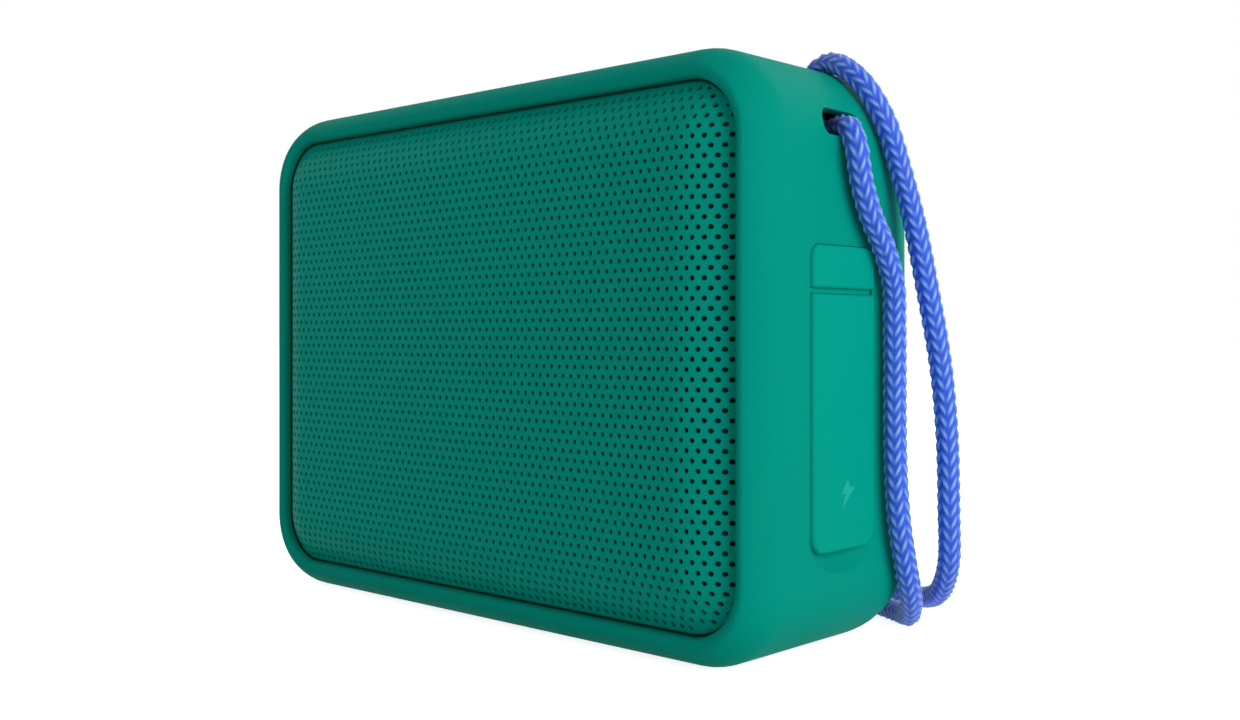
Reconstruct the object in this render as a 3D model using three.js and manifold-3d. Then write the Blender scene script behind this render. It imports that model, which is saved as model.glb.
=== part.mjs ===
// Portable bluetooth speaker: a rubber-skinned box with a perforated metal grille, a wrist cord,
// five rubber buttons on top and a port flap on the right side.
// Units are millimetres. +X is to the right, -Y to the front, +Z up, and z = 0 is what it stands on.

import * as THREE from "three";
import { mergeGeometries, mergeVertices } from "three/addons/utils/BufferGeometryUtils.js";
import Module from "manifold-3d";

const wasm = await Module();
wasm.setup();

// Overall box and its roundings
const bodyWidth = 109.4;
const bodyHeight = 82;
const bodyDepth = 46.3;
const cornerRadius = 12.2;
const frontEdgeRadius = 7.7;
const backEdgeRadius = 13.9;
const leastCornerRadius = 2.5;
const cornerSteps = 4;
const frontArcSteps = 4;
const backArcSteps = 5;

// Clearances
const seatGap = 0.3;
const cutterOverrun = 6;
const weldDistance = 0.001;

// Rubber jacket and the rim that frames the grille
const jacketWall = 2;
const rimSide = 4;
const rimTop = 4.5;

// Perforated grille, pressed into a shallow crown, and the cloth behind it
const grilleGap = 0.35;
const grilleSheet = 0.7;
const crownDrop = 2.15;
const crownBand = 8;
const crownSteps = 3;
const grilleSkirt = 1.5;
const holePitch = 7.9;
const holeDiameterShare = 0.47;
const holeRowShare = Math.sqrt(3) / 2;
const holeMargin = 3.6;
const holeSides = 6;
const clothThickness = 0.4;

// Inner housing: a rear tub, a gasket and a front baffle
const housingWall = 1.8;
const partingDepth = 9.7;
const gasketThickness = 0.6;
const gasketWidth = 1.3;
const baffleThickness = 2.4;

// Full-range driver
const driverSideGap = 2.1;
const driverLand = 2.6;
const driverFlangeThickness = 1.4;
const coneRadius = 18;
const rollWidth = 3.8;
const coneThickness = 0.8;
const coneDepth = 6.2;
const coneBendShare = 0.62;
const coilRadius = 6.9;
const coilWall = 0.6;
const coilDepth = 7.3;
const dustCapRise = 2.6;
const dustCapShoulderShares = [0.6, 0.4];
const surroundRise = 1.9;
const surroundThickness = 0.6;
const rollSteps = 3;
const basketDepth = 9.5;
const basketBackRadius = 13.6;
const basketWall = 1.1;
const basketWindows = 6;
const basketWindowWidth = 8;
const spiderRadius = 11.6;
const spiderThickness = 0.5;
const magnetRadius = 13;
const magnetLength = 8.5;
const polePlateGap = 0.7;
const magnetFloor = 2.6;

// Passive radiator, an oval ring beside the driver
const radiatorDriverGap = 5.5;
const radiatorSideGap = 7.6;
const radiatorEndGap = 7.9;
const radiatorRing = 2.5;
const radiatorRingDepth = 1.2;
const radiatorRollWidth = 3.5;
const radiatorMassThickness = 2;
const radiatorRise = 1.8;
const radiatorRollShares = [0, 0.7, 1, 0.7, 0];

// Screws that hold the baffle to the tub, in from the front behind the grille
const screwInset = 3.5;
const screwShank = 1.2;
const screwHead = 2.3;
const screwHeadDepth = 1.5;
const screwLength = 9;
const postRadius = 3.5;
const postLength = 9;

// Top buttons, their switches and the board that carries them
const buttonSideMargin = 26.7;
const buttonCount = 5;
const buttonSetback = 20.15;
const buttonRadius = 4.5;
const buttonProud = 0.35;
const buttonSkin = 1.5;
const buttonStemRadius = 1.9;
const buttonTravel = 0.5;
const stemGuideRadius = 2.4;
const switchSize = 6;
const switchHeight = 2.4;
const switchPlungerRadius = 1.5;
const switchPlungerHeight = 0.7;
const boardThickness = 1.2;
const buttonBoardRightReach = 5;
const buttonBoardLeftReach = 13.8;
const buttonBoardDepth = 14;

// Light pipe and microphone boot beside the buttons
const pipeOffset = 11;
const pipeRadius = 0.9;
const microphoneOffset = 5;
const microphoneRadius = 1.7;
const microphoneHole = 0.5;

// Port flap on the right side
const flapOffset = 0.95;
const flapWidth = 14.7;
const flapBottom = 16.2;
const hingeLine = 49.8;
const tabTop = 55.9;
const hingeGroove = 0.7;
const flapProud = 0.5;
const flapInset = 1.1;
const flapCorner = 3.4;
const plugMargin = 2.6;
const plugBelowHinge = 5;
const plugWall = 1.2;
const scoopDrop = 3.8;
const scoopDepth = 1.2;

// Ports and main board
const boardWidth = 37.3;
const boardBottom = 18;
const boardHeadroom = 10.2;
const portRise = 6.2;
const portWidth = 9;
const portHeight = 3.3;
const portCorner = 1.4;
const portDepth = 7.4;
const portShell = 0.35;
const portTongueWidth = 6.2;
const portTongueThickness = 0.7;
const portTongueSetback = 0.9;
const jackRise = 12;
const jackBodyWidth = 6.4;
const jackBodyDepth = 4.6;
const jackBodyLength = 12;
const jackNoseRadius = 2.2;
const jackBoreRadius = 1.75;
const jackBoreDepth = 11.5;
const moduleInset = 3;
const moduleWidth = 13;
const moduleHeight = 15;
const moduleThickness = 2;

// Battery cell and the saddle ribs that carry it
const cellRadius = 9.2;
const cellLength = 65;
const cellX = -1;
const cellBackGap = 1.05;
const cellFloorGap = 1.2;
const cellNubRadius = 2.8;
const cellNubLength = 1.2;
const saddleWidth = 2.4;
const saddleHeight = 6;
const saddlePlacesShare = [-0.36, 0, 0.36];

// Corner passage for the wrist cord: a side slot, a top slot and the pocket that joins them
const cordDiameter = 3.2;
const sideSlotY = -2.1;
const sideSlotDrop = 9.4;
const sideSlotWidth = 9.9;
const sideSlotHeight = 4.4;
const topSlotInset = 12.7;
const topSlotY = 6.8;
const topSlotLength = 9;
const topSlotWidth = 5.6;
const slotCorner = 1.9;
const pocketInset = 5.5;
const pocketDrop = 4.6;
const pocketHeight = 7.4;
const pocketWall = 1.8;
const clampLength = 6.6;
const clampInset = 2.9;
const clampHeadroom = 1.1;
const clampFrontMargin = 1.5;
const clampBackMargin = 2.1;

// Inner leads
const leadRadius = 0.6;
const leadRise = 5;
const leadArch = 8;
const leadSides = 6;
const leadSteps = 14;

// The cord's route, from the crimp block out of the side slot, down the right side, round behind the
// body on the floor, and back up and over the corner into the top slot
const cordRoute = [
  [46.6, -1.5, 72.8], [50.0, -1.5, 72.8], [53.0, -1.6, 72.8], [55.7, -1.6, 71.9], [56.9, -1.4, 69.0],
  [56.8, -0.7, 65.0], [56.7, 1.7, 60.0], [56.7, 5.3, 55.2], [56.7, 7.0, 50.2], [56.7, 7.2, 40.0],
  [56.8, 7.4, 26.0], [56.9, 8.3, 18.6], [56.7, 10.6, 12.6], [55.2, 14.6, 7.4], [51.9, 19.9, 3.7],
  [47.0, 24.7, 1.9], [40.0, 27.5, 1.7], [32.0, 28.7, 1.7], [24.8, 30.6, 1.7], [20.8, 34.6, 1.7],
  [21.6, 39.6, 1.7], [26.5, 41.8, 1.7], [34.0, 40.3, 1.7], [41.5, 35.9, 2.0], [49.5, 28.6, 3.6],
  [56.2, 21.0, 6.9], [59.9, 16.4, 12.0], [61.2, 14.0, 19.5], [61.3, 13.3, 30.0], [60.6, 12.7, 40.0],
  [59.2, 11.4, 51.0], [57.9, 10.1, 60.0], [56.9, 8.0, 67.4], [56.2, 5.6, 73.2], [54.1, 4.4, 78.2],
  [50.7, 4.9, 81.7], [46.8, 6.1, 83.4], [43.4, 6.8, 82.3], [42.0, 6.8, 79.6], [42.0, 6.8, 76.6],
];
const cordSides = 8;
const cordSteps = 64;

// Derived planes
const middle = bodyHeight / 2;
const frontPlane = -bodyDepth / 2;
const rightPlane = bodyWidth / 2;
const frontArcCentre = frontPlane + frontEdgeRadius;
const backArcCentre = bodyDepth / 2 - backEdgeRadius;
const partingPlane = frontPlane + partingDepth;
const buttonY = frontPlane + buttonSetback;
const housingSkin = jacketWall + seatGap;
const cavitySkin = housingSkin + housingWall;
const cavityRight = rightPlane - cavitySkin;
const grilleEdge = frontPlane + crownDrop;
const grilleBack = grilleEdge + grilleSkirt;
const baffleFront = grilleBack + seatGap;
const baffleBack = baffleFront + baffleThickness;
const flangeFront = baffleBack + seatGap;
const driverApertureRadius = coneRadius + seatGap + rollWidth + seatGap;
const driverFlangeRadius = driverApertureRadius + driverLand;
const driverX = driverFlangeRadius + driverSideGap - cavityRight;
const radiatorLeft = driverX + driverFlangeRadius + radiatorDriverGap;
const radiatorRight = cavityRight - radiatorSideGap;
const radiatorX = (radiatorLeft + radiatorRight) / 2;
const radiatorWidth = radiatorRight - radiatorLeft;
const radiatorHeight = bodyHeight - 2 * (cavitySkin + radiatorEndGap);
const radiatorMassWidth = radiatorWidth - 2 * (radiatorRing + radiatorRollWidth);
const radiatorMassHeight = radiatorHeight - 2 * (radiatorRing + radiatorRollWidth);
const quarter = Math.PI / 2;

// Colours and finishes
function finish(color, roughness, metalness) {
  return new THREE.MeshStandardMaterial({ color, roughness, metalness });
}
const rubber = finish(0x009f8b, 0.62, 0);
const flapRubber = finish(0x02a590, 0.6, 0);
const paintedSteel = finish(0x00806c, 0.45, 0.25);
const blackCloth = finish(0x0c1413, 0.95, 0);
const darkPlastic = finish(0x1d2225, 0.55, 0);
const foam = finish(0x2a2a2c, 0.9, 0);
const zincSteel = finish(0xa9adb0, 0.35, 0.9);
const ferrite = finish(0x3a3a3e, 0.5, 0.4);
const paperCone = finish(0x191a1c, 0.8, 0);
const surroundRubber = finish(0x101112, 0.7, 0);
const copper = finish(0xb06a3c, 0.4, 0.8);
const circuitGreen = finish(0x14512e, 0.5, 0);
const switchBlack = finish(0x161616, 0.5, 0);
const cellWrap = finish(0x2f6fb5, 0.4, 0);
const clearPlastic = finish(0xe6f0ee, 0.2, 0);
const leadRed = finish(0xb02020, 0.5, 0);
const cordBlue = finish(0x3c5ac8, 0.85, 0);

// Solids: a closed geometry becomes a manifold to be joined and cut, and then a geometry again
function solidOf(geometry) {
  const plain = geometry.clone();
  plain.deleteAttribute("normal");
  plain.deleteAttribute("uv");
  const merged = mergeVertices(plain, weldDistance);
  const corners = Array.from(merged.index.array);
  const kept = [];
  for (let i = 0; i < corners.length; i += 3) {
    const [a, b, c] = corners.slice(i, i + 3);
    if (a !== b && b !== c && c !== a) kept.push(a, b, c);
  }
  return new wasm.Manifold(new wasm.Mesh({
    numProp: 3,
    vertProperties: new Float32Array(merged.attributes.position.array),
    triVerts: new Uint32Array(kept),
  }));
}

function geometryOf(solid) {
  const mesh = solid.getMesh();
  const geometry = new THREE.BufferGeometry();
  geometry.setAttribute("position", new THREE.BufferAttribute(new Float32Array(mesh.vertProperties), 3));
  geometry.setIndex(new THREE.BufferAttribute(new Uint32Array(mesh.triVerts), 1));
  return geometry;
}

function join(first, ...others) {
  return others.reduce((whole, piece) => whole.add(piece), first);
}

function cut(first, ...cutters) {
  return cutters.reduce((rest, cutter) => rest.subtract(cutter), first);
}

function named(name, geometry, material) {
  const mesh = new THREE.Mesh(geometry, material);
  mesh.name = name;
  return mesh;
}

function node(name, solid, material) {
  return named(name, geometryOf(solid), material);
}

// A body of stacked outlines: every ring is a list of [x, y, z] points, all rings of one length
function loft(rings) {
  const count = rings[0].length;
  const positions = rings.flat(2);
  const index = [];
  for (let r = 0; r + 1 < rings.length; r += 1) {
    for (let k = 0; k < count; k += 1) {
      const a = r * count + k;
      const b = r * count + ((k + 1) % count);
      index.push(a, b, b + count, a, b + count, a + count);
    }
  }
  const last = (rings.length - 1) * count;
  for (let k = 1; k + 1 < count; k += 1) {
    index.push(0, k + 1, k, last, last + k, last + k + 1);
  }
  const geometry = new THREE.BufferGeometry();
  geometry.setAttribute("position", new THREE.Float32BufferAttribute(positions, 3));
  geometry.setIndex(index);
  const solid = solidOf(geometry);
  if (solid.volume() > 0) return solid;
  geometry.setIndex(index.reverse());
  return solidOf(geometry);
}

// A rounded rectangle in a plane of constant y, as points that run round it once
function outline(halfWidth, halfHeight, radius, y, centreX = 0) {
  const points = [];
  const corners = [[1, -1], [1, 1], [-1, 1], [-1, -1]];
  corners.forEach(([sideX, sideZ], turn) => {
    for (let step = 0; step <= cornerSteps; step += 1) {
      const angle = (turn - 1 + step / cornerSteps) * quarter;
      points.push([
        centreX + sideX * (halfWidth - radius) + radius * Math.cos(angle),
        y,
        middle + sideZ * (halfHeight - radius) + radius * Math.sin(angle),
      ]);
    }
  });
  return points;
}

// The body's outline drawn in by an inset, at a depth y
function bodyOutline(inset, y) {
  const radius = Math.max(cornerRadius - inset, leastCornerRadius);
  return outline(bodyWidth / 2 - inset, bodyHeight / 2 - inset, radius, y);
}

// How far the body's side is drawn in at a depth y, for a surface that lies a skin inside the outside
function insetAt(y, skin) {
  if (y < frontArcCentre) {
    const radius = frontEdgeRadius - skin;
    return frontEdgeRadius - Math.sqrt(Math.max(radius ** 2 - (y - frontArcCentre) ** 2, 0));
  }
  if (y > backArcCentre) {
    const radius = backEdgeRadius - skin;
    return backEdgeRadius - Math.sqrt(Math.max(radius ** 2 - (y - backArcCentre) ** 2, 0));
  }
  return skin;
}

// The rounded box that lies a skin inside the outside, between two depths
function bodySolid(skin, from = -Infinity, to = Infinity) {
  const front = frontArcCentre - (frontEdgeRadius - skin);
  const back = backArcCentre + (backEdgeRadius - skin);
  const depths = [Math.max(front, from)];
  for (let step = 1; step <= frontArcSteps; step += 1) {
    depths.push(frontArcCentre - (frontEdgeRadius - skin) * Math.cos((step / frontArcSteps) * quarter));
  }
  for (let step = 0; step < backArcSteps; step += 1) {
    depths.push(backArcCentre + (backEdgeRadius - skin) * Math.sin((step / backArcSteps) * quarter));
  }
  depths.push(Math.min(back, to));
  const first = depths[0];
  const last = depths[depths.length - 1];
  const kept = depths.filter((y, i) => i === 0 || i === depths.length - 1 || (y > first && y < last));
  return loft(kept.map((y) => bodyOutline(insetAt(y, skin), y)));
}

// Prisms and rods along an axis
const alongX = new THREE.Matrix4().makeBasis(
  new THREE.Vector3(0, 1, 0), new THREE.Vector3(0, 0, 1), new THREE.Vector3(1, 0, 0));
const alongY = new THREE.Matrix4().makeBasis(
  new THREE.Vector3(0, 0, 1), new THREE.Vector3(1, 0, 0), new THREE.Vector3(0, 1, 0));
const alongZ = new THREE.Matrix4();

function prism(shape, axis, from, to, curveSegments = cornerSteps) {
  const geometry = new THREE.ExtrudeGeometry(shape, { depth: to - from, bevelEnabled: false, curveSegments });
  geometry.translate(0, 0, from);
  geometry.applyMatrix4(axis);
  return solidOf(geometry);
}

function roundedRectangle(centreU, centreV, width, height, radius) {
  const shape = new THREE.Shape();
  const [right, top] = [centreU + width / 2 - radius, centreV + height / 2 - radius];
  const [left, bottom] = [centreU - width / 2 + radius, centreV - height / 2 + radius];
  shape.absarc(right, top, radius, 0, quarter);
  shape.absarc(left, top, radius, quarter, 2 * quarter);
  shape.absarc(left, bottom, radius, 2 * quarter, 3 * quarter);
  shape.absarc(right, bottom, radius, 3 * quarter, 4 * quarter);
  shape.closePath();
  return shape;
}

function block(x, y, z) {
  const box = new THREE.BoxGeometry(x[1] - x[0], y[1] - y[0], z[1] - z[0]);
  box.translate((x[0] + x[1]) / 2, (y[0] + y[1]) / 2, (z[0] + z[1]) / 2);
  return solidOf(box);
}

function rodX(radius, x, y, z, sides) {
  const rod = new THREE.CylinderGeometry(radius, radius, x[1] - x[0], sides);
  rod.rotateZ(quarter);
  rod.translate((x[0] + x[1]) / 2, y, z);
  return solidOf(rod);
}

function rodY(radius, x, y, z, sides) {
  const rod = new THREE.CylinderGeometry(radius, radius, y[1] - y[0], sides);
  rod.translate(x, (y[0] + y[1]) / 2, z);
  return solidOf(rod);
}

function rodZ(radius, x, y, z, sides) {
  const rod = new THREE.CylinderGeometry(radius, radius, z[1] - z[0], sides);
  rod.rotateX(quarter);
  rod.translate(x, y, (z[0] + z[1]) / 2);
  return solidOf(rod);
}

// A turned piece about the Y axis, from a closed profile of [radius, y] points
function turned(profile, sides) {
  const points = profile.map(([radius, y]) => new THREE.Vector2(radius, y));
  points.push(points[0].clone());
  const solid = solidOf(new THREE.LatheGeometry(points, sides));
  if (solid.volume() > 0) return solid;
  return solidOf(new THREE.LatheGeometry(points.reverse(), sides));
}

const turnSides = 18;
const pinSides = 12;
const smallSides = 8;

// Places and sizes that several pieces share
const buttonReach = rightPlane - buttonSideMargin;
const buttonPlaces = [];
for (let i = 0; i < buttonCount; i += 1) {
  buttonPlaces.push(2 * buttonReach * (i / (buttonCount - 1)) - buttonReach);
}
const screwPlaces = [];
for (const sideX of [-1, 1]) {
  for (const sideZ of [-1, 1]) {
    screwPlaces.push([
      sideX * (bodyWidth / 2 - cornerRadius + screwInset),
      middle + sideZ * (bodyHeight / 2 - cornerRadius + screwInset),
    ]);
  }
}
const housingTop = bodyHeight - housingSkin;
const housingRight = rightPlane - housingSkin;
const cellY = bodyDepth / 2 - cavitySkin - cellBackGap - cellRadius;
const cellZ = cavitySkin + cellFloorGap + cellRadius;
const cellRight = cellX + cellLength / 2;
const boardRight = cavityRight - seatGap;
const boardLeft = boardRight - boardWidth;
const boardY = cellY - cellRadius - seatGap - boardThickness / 2;
const screwHeadBack = baffleFront + screwHeadDepth - seatGap;
const screwTip = screwHeadBack + screwLength;
const portY = boardY - boardThickness / 2 - seatGap - portHeight / 2;
const jackY = boardY - boardThickness / 2 - seatGap - jackBodyDepth / 2;
const flapY = portY + flapOffset;
const plugTop = hingeLine - plugBelowHinge;
const plugBottom = flapBottom + plugMargin;
const portZ = plugBottom + portRise;
const jackZ = portZ + jackRise;
const plugWidth = flapWidth - 2 * plugMargin;
const plugCorner = flapCorner / 2;
const pipeX = -buttonReach - pipeOffset;
const microphoneY = buttonY + microphoneOffset;
const flapFloor = rightPlane - flapInset;
const switchTop = housingTop - housingWall - 2 * seatGap - buttonTravel;
const buttonBoardTop = switchTop - switchPlungerHeight - switchHeight - seatGap;
const boardTop = buttonBoardTop - boardThickness - boardHeadroom;
const sideSlotZ = bodyHeight - sideSlotDrop;
const topSlotX = rightPlane - topSlotInset;
const pocketRight = rightPlane - pocketInset;
const pocketTop = bodyHeight - pocketDrop;
const pocketFloor = pocketTop - pocketHeight;

// Cutters for the two slots of the cord's passage, which line up in the jacket and the tub
function passageCutters() {
  const side = prism(
    roundedRectangle(sideSlotY, sideSlotZ, sideSlotWidth, sideSlotHeight, slotCorner),
    alongX, pocketRight - pocketWall, rightPlane + cutterOverrun);
  const top = prism(
    roundedRectangle(topSlotX, topSlotY, topSlotLength, topSlotWidth, slotCorner),
    alongZ, pocketTop - pocketWall, bodyHeight + cutterOverrun);
  return [side, top];
}
const pocketFront = sideSlotY - sideSlotWidth / 2 - seatGap;
const pocketBack = topSlotY + topSlotWidth / 2 + seatGap;
const pocketLeft = topSlotX - topSlotLength / 2 - seatGap;

// Rubber jacket: one moulding, open at the front, with the buttons' holes, the flap's bed and the slots
function makeJacket() {
  const opening = prism(
    roundedRectangle(middle, 0, bodyHeight - 2 * rimTop, bodyWidth - 2 * rimSide, cornerRadius - rimSide),
    alongY, frontPlane - cutterOverrun, frontArcCentre);
  const shell = cut(bodySolid(0), bodySolid(jacketWall), opening);
  const bedHeight = tabTop - flapBottom + 2 * seatGap;
  const bed = prism(
    roundedRectangle(flapY, (tabTop + flapBottom) / 2, flapWidth + 2 * seatGap, bedHeight, flapCorner + seatGap),
    alongX, flapFloor - seatGap, rightPlane + cutterOverrun);
  const window = prism(
    roundedRectangle(flapY, (plugTop + plugBottom) / 2, plugWidth, plugTop - plugBottom, plugCorner),
    alongX, rightPlane - jacketWall - cutterOverrun, rightPlane + cutterOverrun);
  const scoopShape = new THREE.Shape();
  scoopShape.moveTo(flapBottom + scoopDepth, rightPlane - scoopDepth);
  scoopShape.lineTo(flapBottom + scoopDepth, rightPlane + scoopDepth);
  scoopShape.lineTo(flapBottom - scoopDrop - scoopDepth, rightPlane + scoopDepth);
  scoopShape.lineTo(flapBottom - scoopDrop, rightPlane);
  scoopShape.lineTo(flapBottom - seatGap, rightPlane - scoopDepth);
  const scoop = prism(
    scoopShape, alongY, flapY - flapWidth / 2 + flapCorner / 2, flapY + flapWidth / 2 - flapCorner / 2);
  const buttonHoles = buttonPlaces.map((x) => rodZ(
    buttonRadius + seatGap, x, buttonY, [bodyHeight - jacketWall - cutterOverrun, bodyHeight + cutterOverrun],
    turnSides));
  const pipeHole = rodZ(
    pipeRadius + seatGap, pipeX, buttonY,
    [bodyHeight - jacketWall - cutterOverrun, bodyHeight + cutterOverrun], smallSides);
  const microphoneHoleCutter = rodZ(
    microphoneHole, pipeX, microphoneY,
    [bodyHeight - jacketWall - cutterOverrun, bodyHeight + cutterOverrun], smallSides);
  return cut(
    shell, bed, window, scoop, ...buttonHoles, pipeHole, microphoneHoleCutter, ...passageCutters());
}

// Grille: a pressed and perforated sheet with a turned-back skirt
function grilleOutline(distance, y) {
  const side = rimSide + grilleGap + distance;
  const top = rimTop + grilleGap + distance;
  const radius = Math.max(cornerRadius - rimSide - grilleGap - distance, leastCornerRadius);
  return outline(bodyWidth / 2 - side, bodyHeight / 2 - top, radius, y);
}

function crownAt(distance) {
  const share = Math.max(1 - distance / crownBand, 0);
  return frontPlane + crownDrop * share ** 2;
}

function crownRings(firstDistance, setBack) {
  const rings = [];
  for (let step = 0; step <= crownSteps; step += 1) {
    const distance = firstDistance + (crownBand - firstDistance) * (step / crownSteps);
    rings.push(grilleOutline(distance, crownAt(distance) + setBack));
  }
  return rings;
}

function makeGrille() {
  const inside = crownRings(grilleSheet, grilleSheet).reverse();
  const skirt = [grilleOutline(grilleSheet, grilleBack), grilleOutline(0, grilleBack)];
  const sheet = loft([...inside, ...skirt, ...crownRings(0, 0)]);
  const rowPitch = holePitch * holeRowShare;
  const halfWidth = bodyWidth / 2 - rimSide - grilleGap - holeMargin;
  const halfHeight = bodyHeight / 2 - rimTop - grilleGap - holeMargin;
  const cornerReach = cornerRadius - rimSide - holeMargin / 2;
  const rows = Math.floor(halfHeight / rowPitch);
  const punches = [];
  for (let row = -rows; row <= rows; row += 1) {
    const z = row * rowPitch;
    const shift = Math.abs(row % 2) * (holePitch / 2);
    const across = Math.floor((halfWidth - shift) / holePitch);
    for (let column = -across - Math.ceil(shift / holePitch); column <= across; column += 1) {
      const x = column * holePitch + shift;
      const cornerX = Math.abs(x) - (halfWidth - cornerReach);
      const cornerZ = Math.abs(z) - (halfHeight - cornerReach);
      const inCorner = cornerX > 0 && cornerZ > 0;
      if (inCorner && Math.hypot(cornerX, cornerZ) > cornerReach) continue;
      const radius = (holePitch * holeDiameterShare) / 2;
      const punch = new THREE.CylinderGeometry(radius, radius, crownDrop + 2 * cutterOverrun, holeSides);
      punch.translate(x, frontPlane + crownDrop / 2, middle + z);
      punches.push(punch);
    }
  }
  return cut(sheet, solidOf(mergeGeometries(punches)));
}

function makeCloth() {
  const behind = grilleSheet + seatGap;
  const front = crownRings(behind, behind);
  const back = crownRings(behind, behind + clothThickness).reverse();
  return loft([...back, ...front]);
}

// Baffle: the plate that carries the driver and the radiator, with a skirt back to the gasket
const skirtBack = partingPlane - gasketThickness - 2 * seatGap;

function ringBetween(outerSkin, innerSkin, from, to) {
  return cut(bodySolid(outerSkin, from, to), bodySolid(innerSkin, from - cutterOverrun, to + cutterOverrun));
}

function makeBaffle() {
  const plate = bodySolid(housingSkin, baffleFront, baffleBack);
  const skirt = ringBetween(housingSkin, cavitySkin, baffleBack, skirtBack);
  const driverHole = rodY(
    driverApertureRadius, driverX, [baffleFront - cutterOverrun, baffleBack + cutterOverrun], middle, turnSides);
  const holeWidth = radiatorWidth - 2 * radiatorRing;
  const radiatorHole = prism(
    roundedRectangle(middle, radiatorX, radiatorHeight - 2 * radiatorRing, holeWidth, holeWidth / 2),
    alongY, baffleFront - cutterOverrun, baffleBack + cutterOverrun);
  const sleeves = screwPlaces.map(([x, z]) => rodY(postRadius, x, [baffleFront, skirtBack], z, pinSides));
  const sleeveTrim = bodySolid(housingSkin, baffleFront, skirtBack);
  const trimmed = sleeves.map((sleeve) => sleeve.intersect(sleeveTrim));
  const shankHoles = screwPlaces.map(([x, z]) => rodY(
    screwShank + seatGap, x, [baffleFront - cutterOverrun, partingPlane + cutterOverrun], z, smallSides));
  const headHoles = screwPlaces.map(([x, z]) => rodY(
    screwHead + seatGap, x, [baffleFront - cutterOverrun, baffleFront + screwHeadDepth], z, pinSides));
  return cut(join(plate, skirt, ...trimmed), driverHole, radiatorHole, ...shankHoles, ...headHoles);
}

function makeGasket() {
  const from = skirtBack + seatGap;
  return ringBetween(housingSkin, housingSkin + gasketWidth, from, from + gasketThickness);
}

// Tub: the shell behind the baffle, with screw posts, cell saddles and the cord's corner block
function makeTub() {
  const outside = bodySolid(housingSkin, partingPlane);
  const shell = cut(outside, bodySolid(cavitySkin, partingPlane - cutterOverrun));
  const posts = screwPlaces.map(([x, z]) => rodY(
    postRadius, x, [partingPlane, partingPlane + postLength], z, pinSides));
  const saddles = saddlePlacesShare.map((share) => {
    const x = cellX + share * cellLength;
    const rib = block(
      [x - saddleWidth / 2, x + saddleWidth / 2], [cellY - cellRadius, cellY + cellRadius],
      [0, cellZ - cellRadius + saddleHeight]);
    return cut(rib, rodX(cellRadius + seatGap, [x - saddleWidth, x + saddleWidth], cellY, cellZ, turnSides));
  });
  const cornerBlock = block(
    [pocketLeft - pocketWall, rightPlane], [pocketFront - pocketWall, pocketBack + pocketWall],
    [pocketFloor - pocketWall, bodyHeight]);
  const inner = join(cornerBlock, ...posts, ...saddles).intersect(outside);
  const pocket = block([pocketLeft, pocketRight], [pocketFront, pocketBack], [pocketFloor, pocketTop]);
  const pilots = screwPlaces.map(([x, z]) => rodY(
    screwShank + seatGap, x, [partingPlane - cutterOverrun, screwTip + seatGap], z, smallSides));
  const stemGuides = buttonPlaces.map((x) => rodZ(
    stemGuideRadius, x, buttonY, [housingTop - cutterOverrun, housingTop + cutterOverrun], pinSides));
  const pipeHole = rodZ(
    pipeRadius + seatGap, pipeX, buttonY, [housingTop - cutterOverrun, housingTop + cutterOverrun], smallSides);
  const microphoneSeat = rodZ(
    microphoneRadius + seatGap, pipeX, microphoneY,
    [housingTop - cutterOverrun, housingTop + cutterOverrun], pinSides);
  const portHole = prism(
    roundedRectangle(portY, portZ, portHeight + 2 * seatGap, portWidth + 2 * seatGap, portCorner + seatGap),
    alongX, housingRight - cutterOverrun, housingRight + cutterOverrun);
  const jackHole = rodX(
    jackNoseRadius + seatGap, [housingRight - cutterOverrun, housingRight + cutterOverrun], jackY, jackZ, pinSides);
  return cut(
    join(shell, inner), pocket, ...passageCutters(), ...pilots, ...stemGuides, pipeHole, microphoneSeat,
    portHole, jackHole);
}

// Driver, built about its own axis and placed in a group
const flangeBack = flangeFront + driverFlangeThickness;
const coneFront = flangeFront - seatGap;
const coneBack = coneFront + coneDepth;
const basketBack = flangeFront + basketDepth;
const coneBackRadius = coilRadius + coilWall;

function makeDriverFrame() {
  const wallRise = basketBack - basketWall;
  const profile = [
    [driverApertureRadius - basketWall, flangeFront], [driverFlangeRadius, flangeFront],
    [driverFlangeRadius, flangeBack], [driverApertureRadius, flangeBack],
    [basketBackRadius + basketWall, basketBack], [coneBackRadius + basketWall, basketBack],
    [coneBackRadius + basketWall, wallRise], [basketBackRadius, wallRise],
    [driverApertureRadius - basketWall, flangeBack],
  ];
  const windows = [];
  for (let i = 0; i < basketWindows; i += 1) {
    const window = new THREE.BoxGeometry(basketWindowWidth, basketDepth / 2, driverFlangeRadius);
    window.translate(0, (flangeBack + wallRise) / 2, driverFlangeRadius);
    window.rotateY((i / basketWindows) * 4 * quarter);
    windows.push(solidOf(window));
  }
  return cut(turned(profile, turnSides), ...windows);
}

function makeMagnet() {
  const front = basketBack + seatGap;
  const back = front + magnetLength;
  const gapInner = coilRadius - polePlateGap;
  const gapOuter = coneBackRadius + polePlateGap;
  const profile = [
    [0, front], [gapInner, front], [gapInner, back - magnetFloor], [gapOuter, back - magnetFloor],
    [gapOuter, front], [magnetRadius, front], [magnetRadius, back], [0, back],
  ];
  return turned(profile, turnSides);
}

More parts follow.
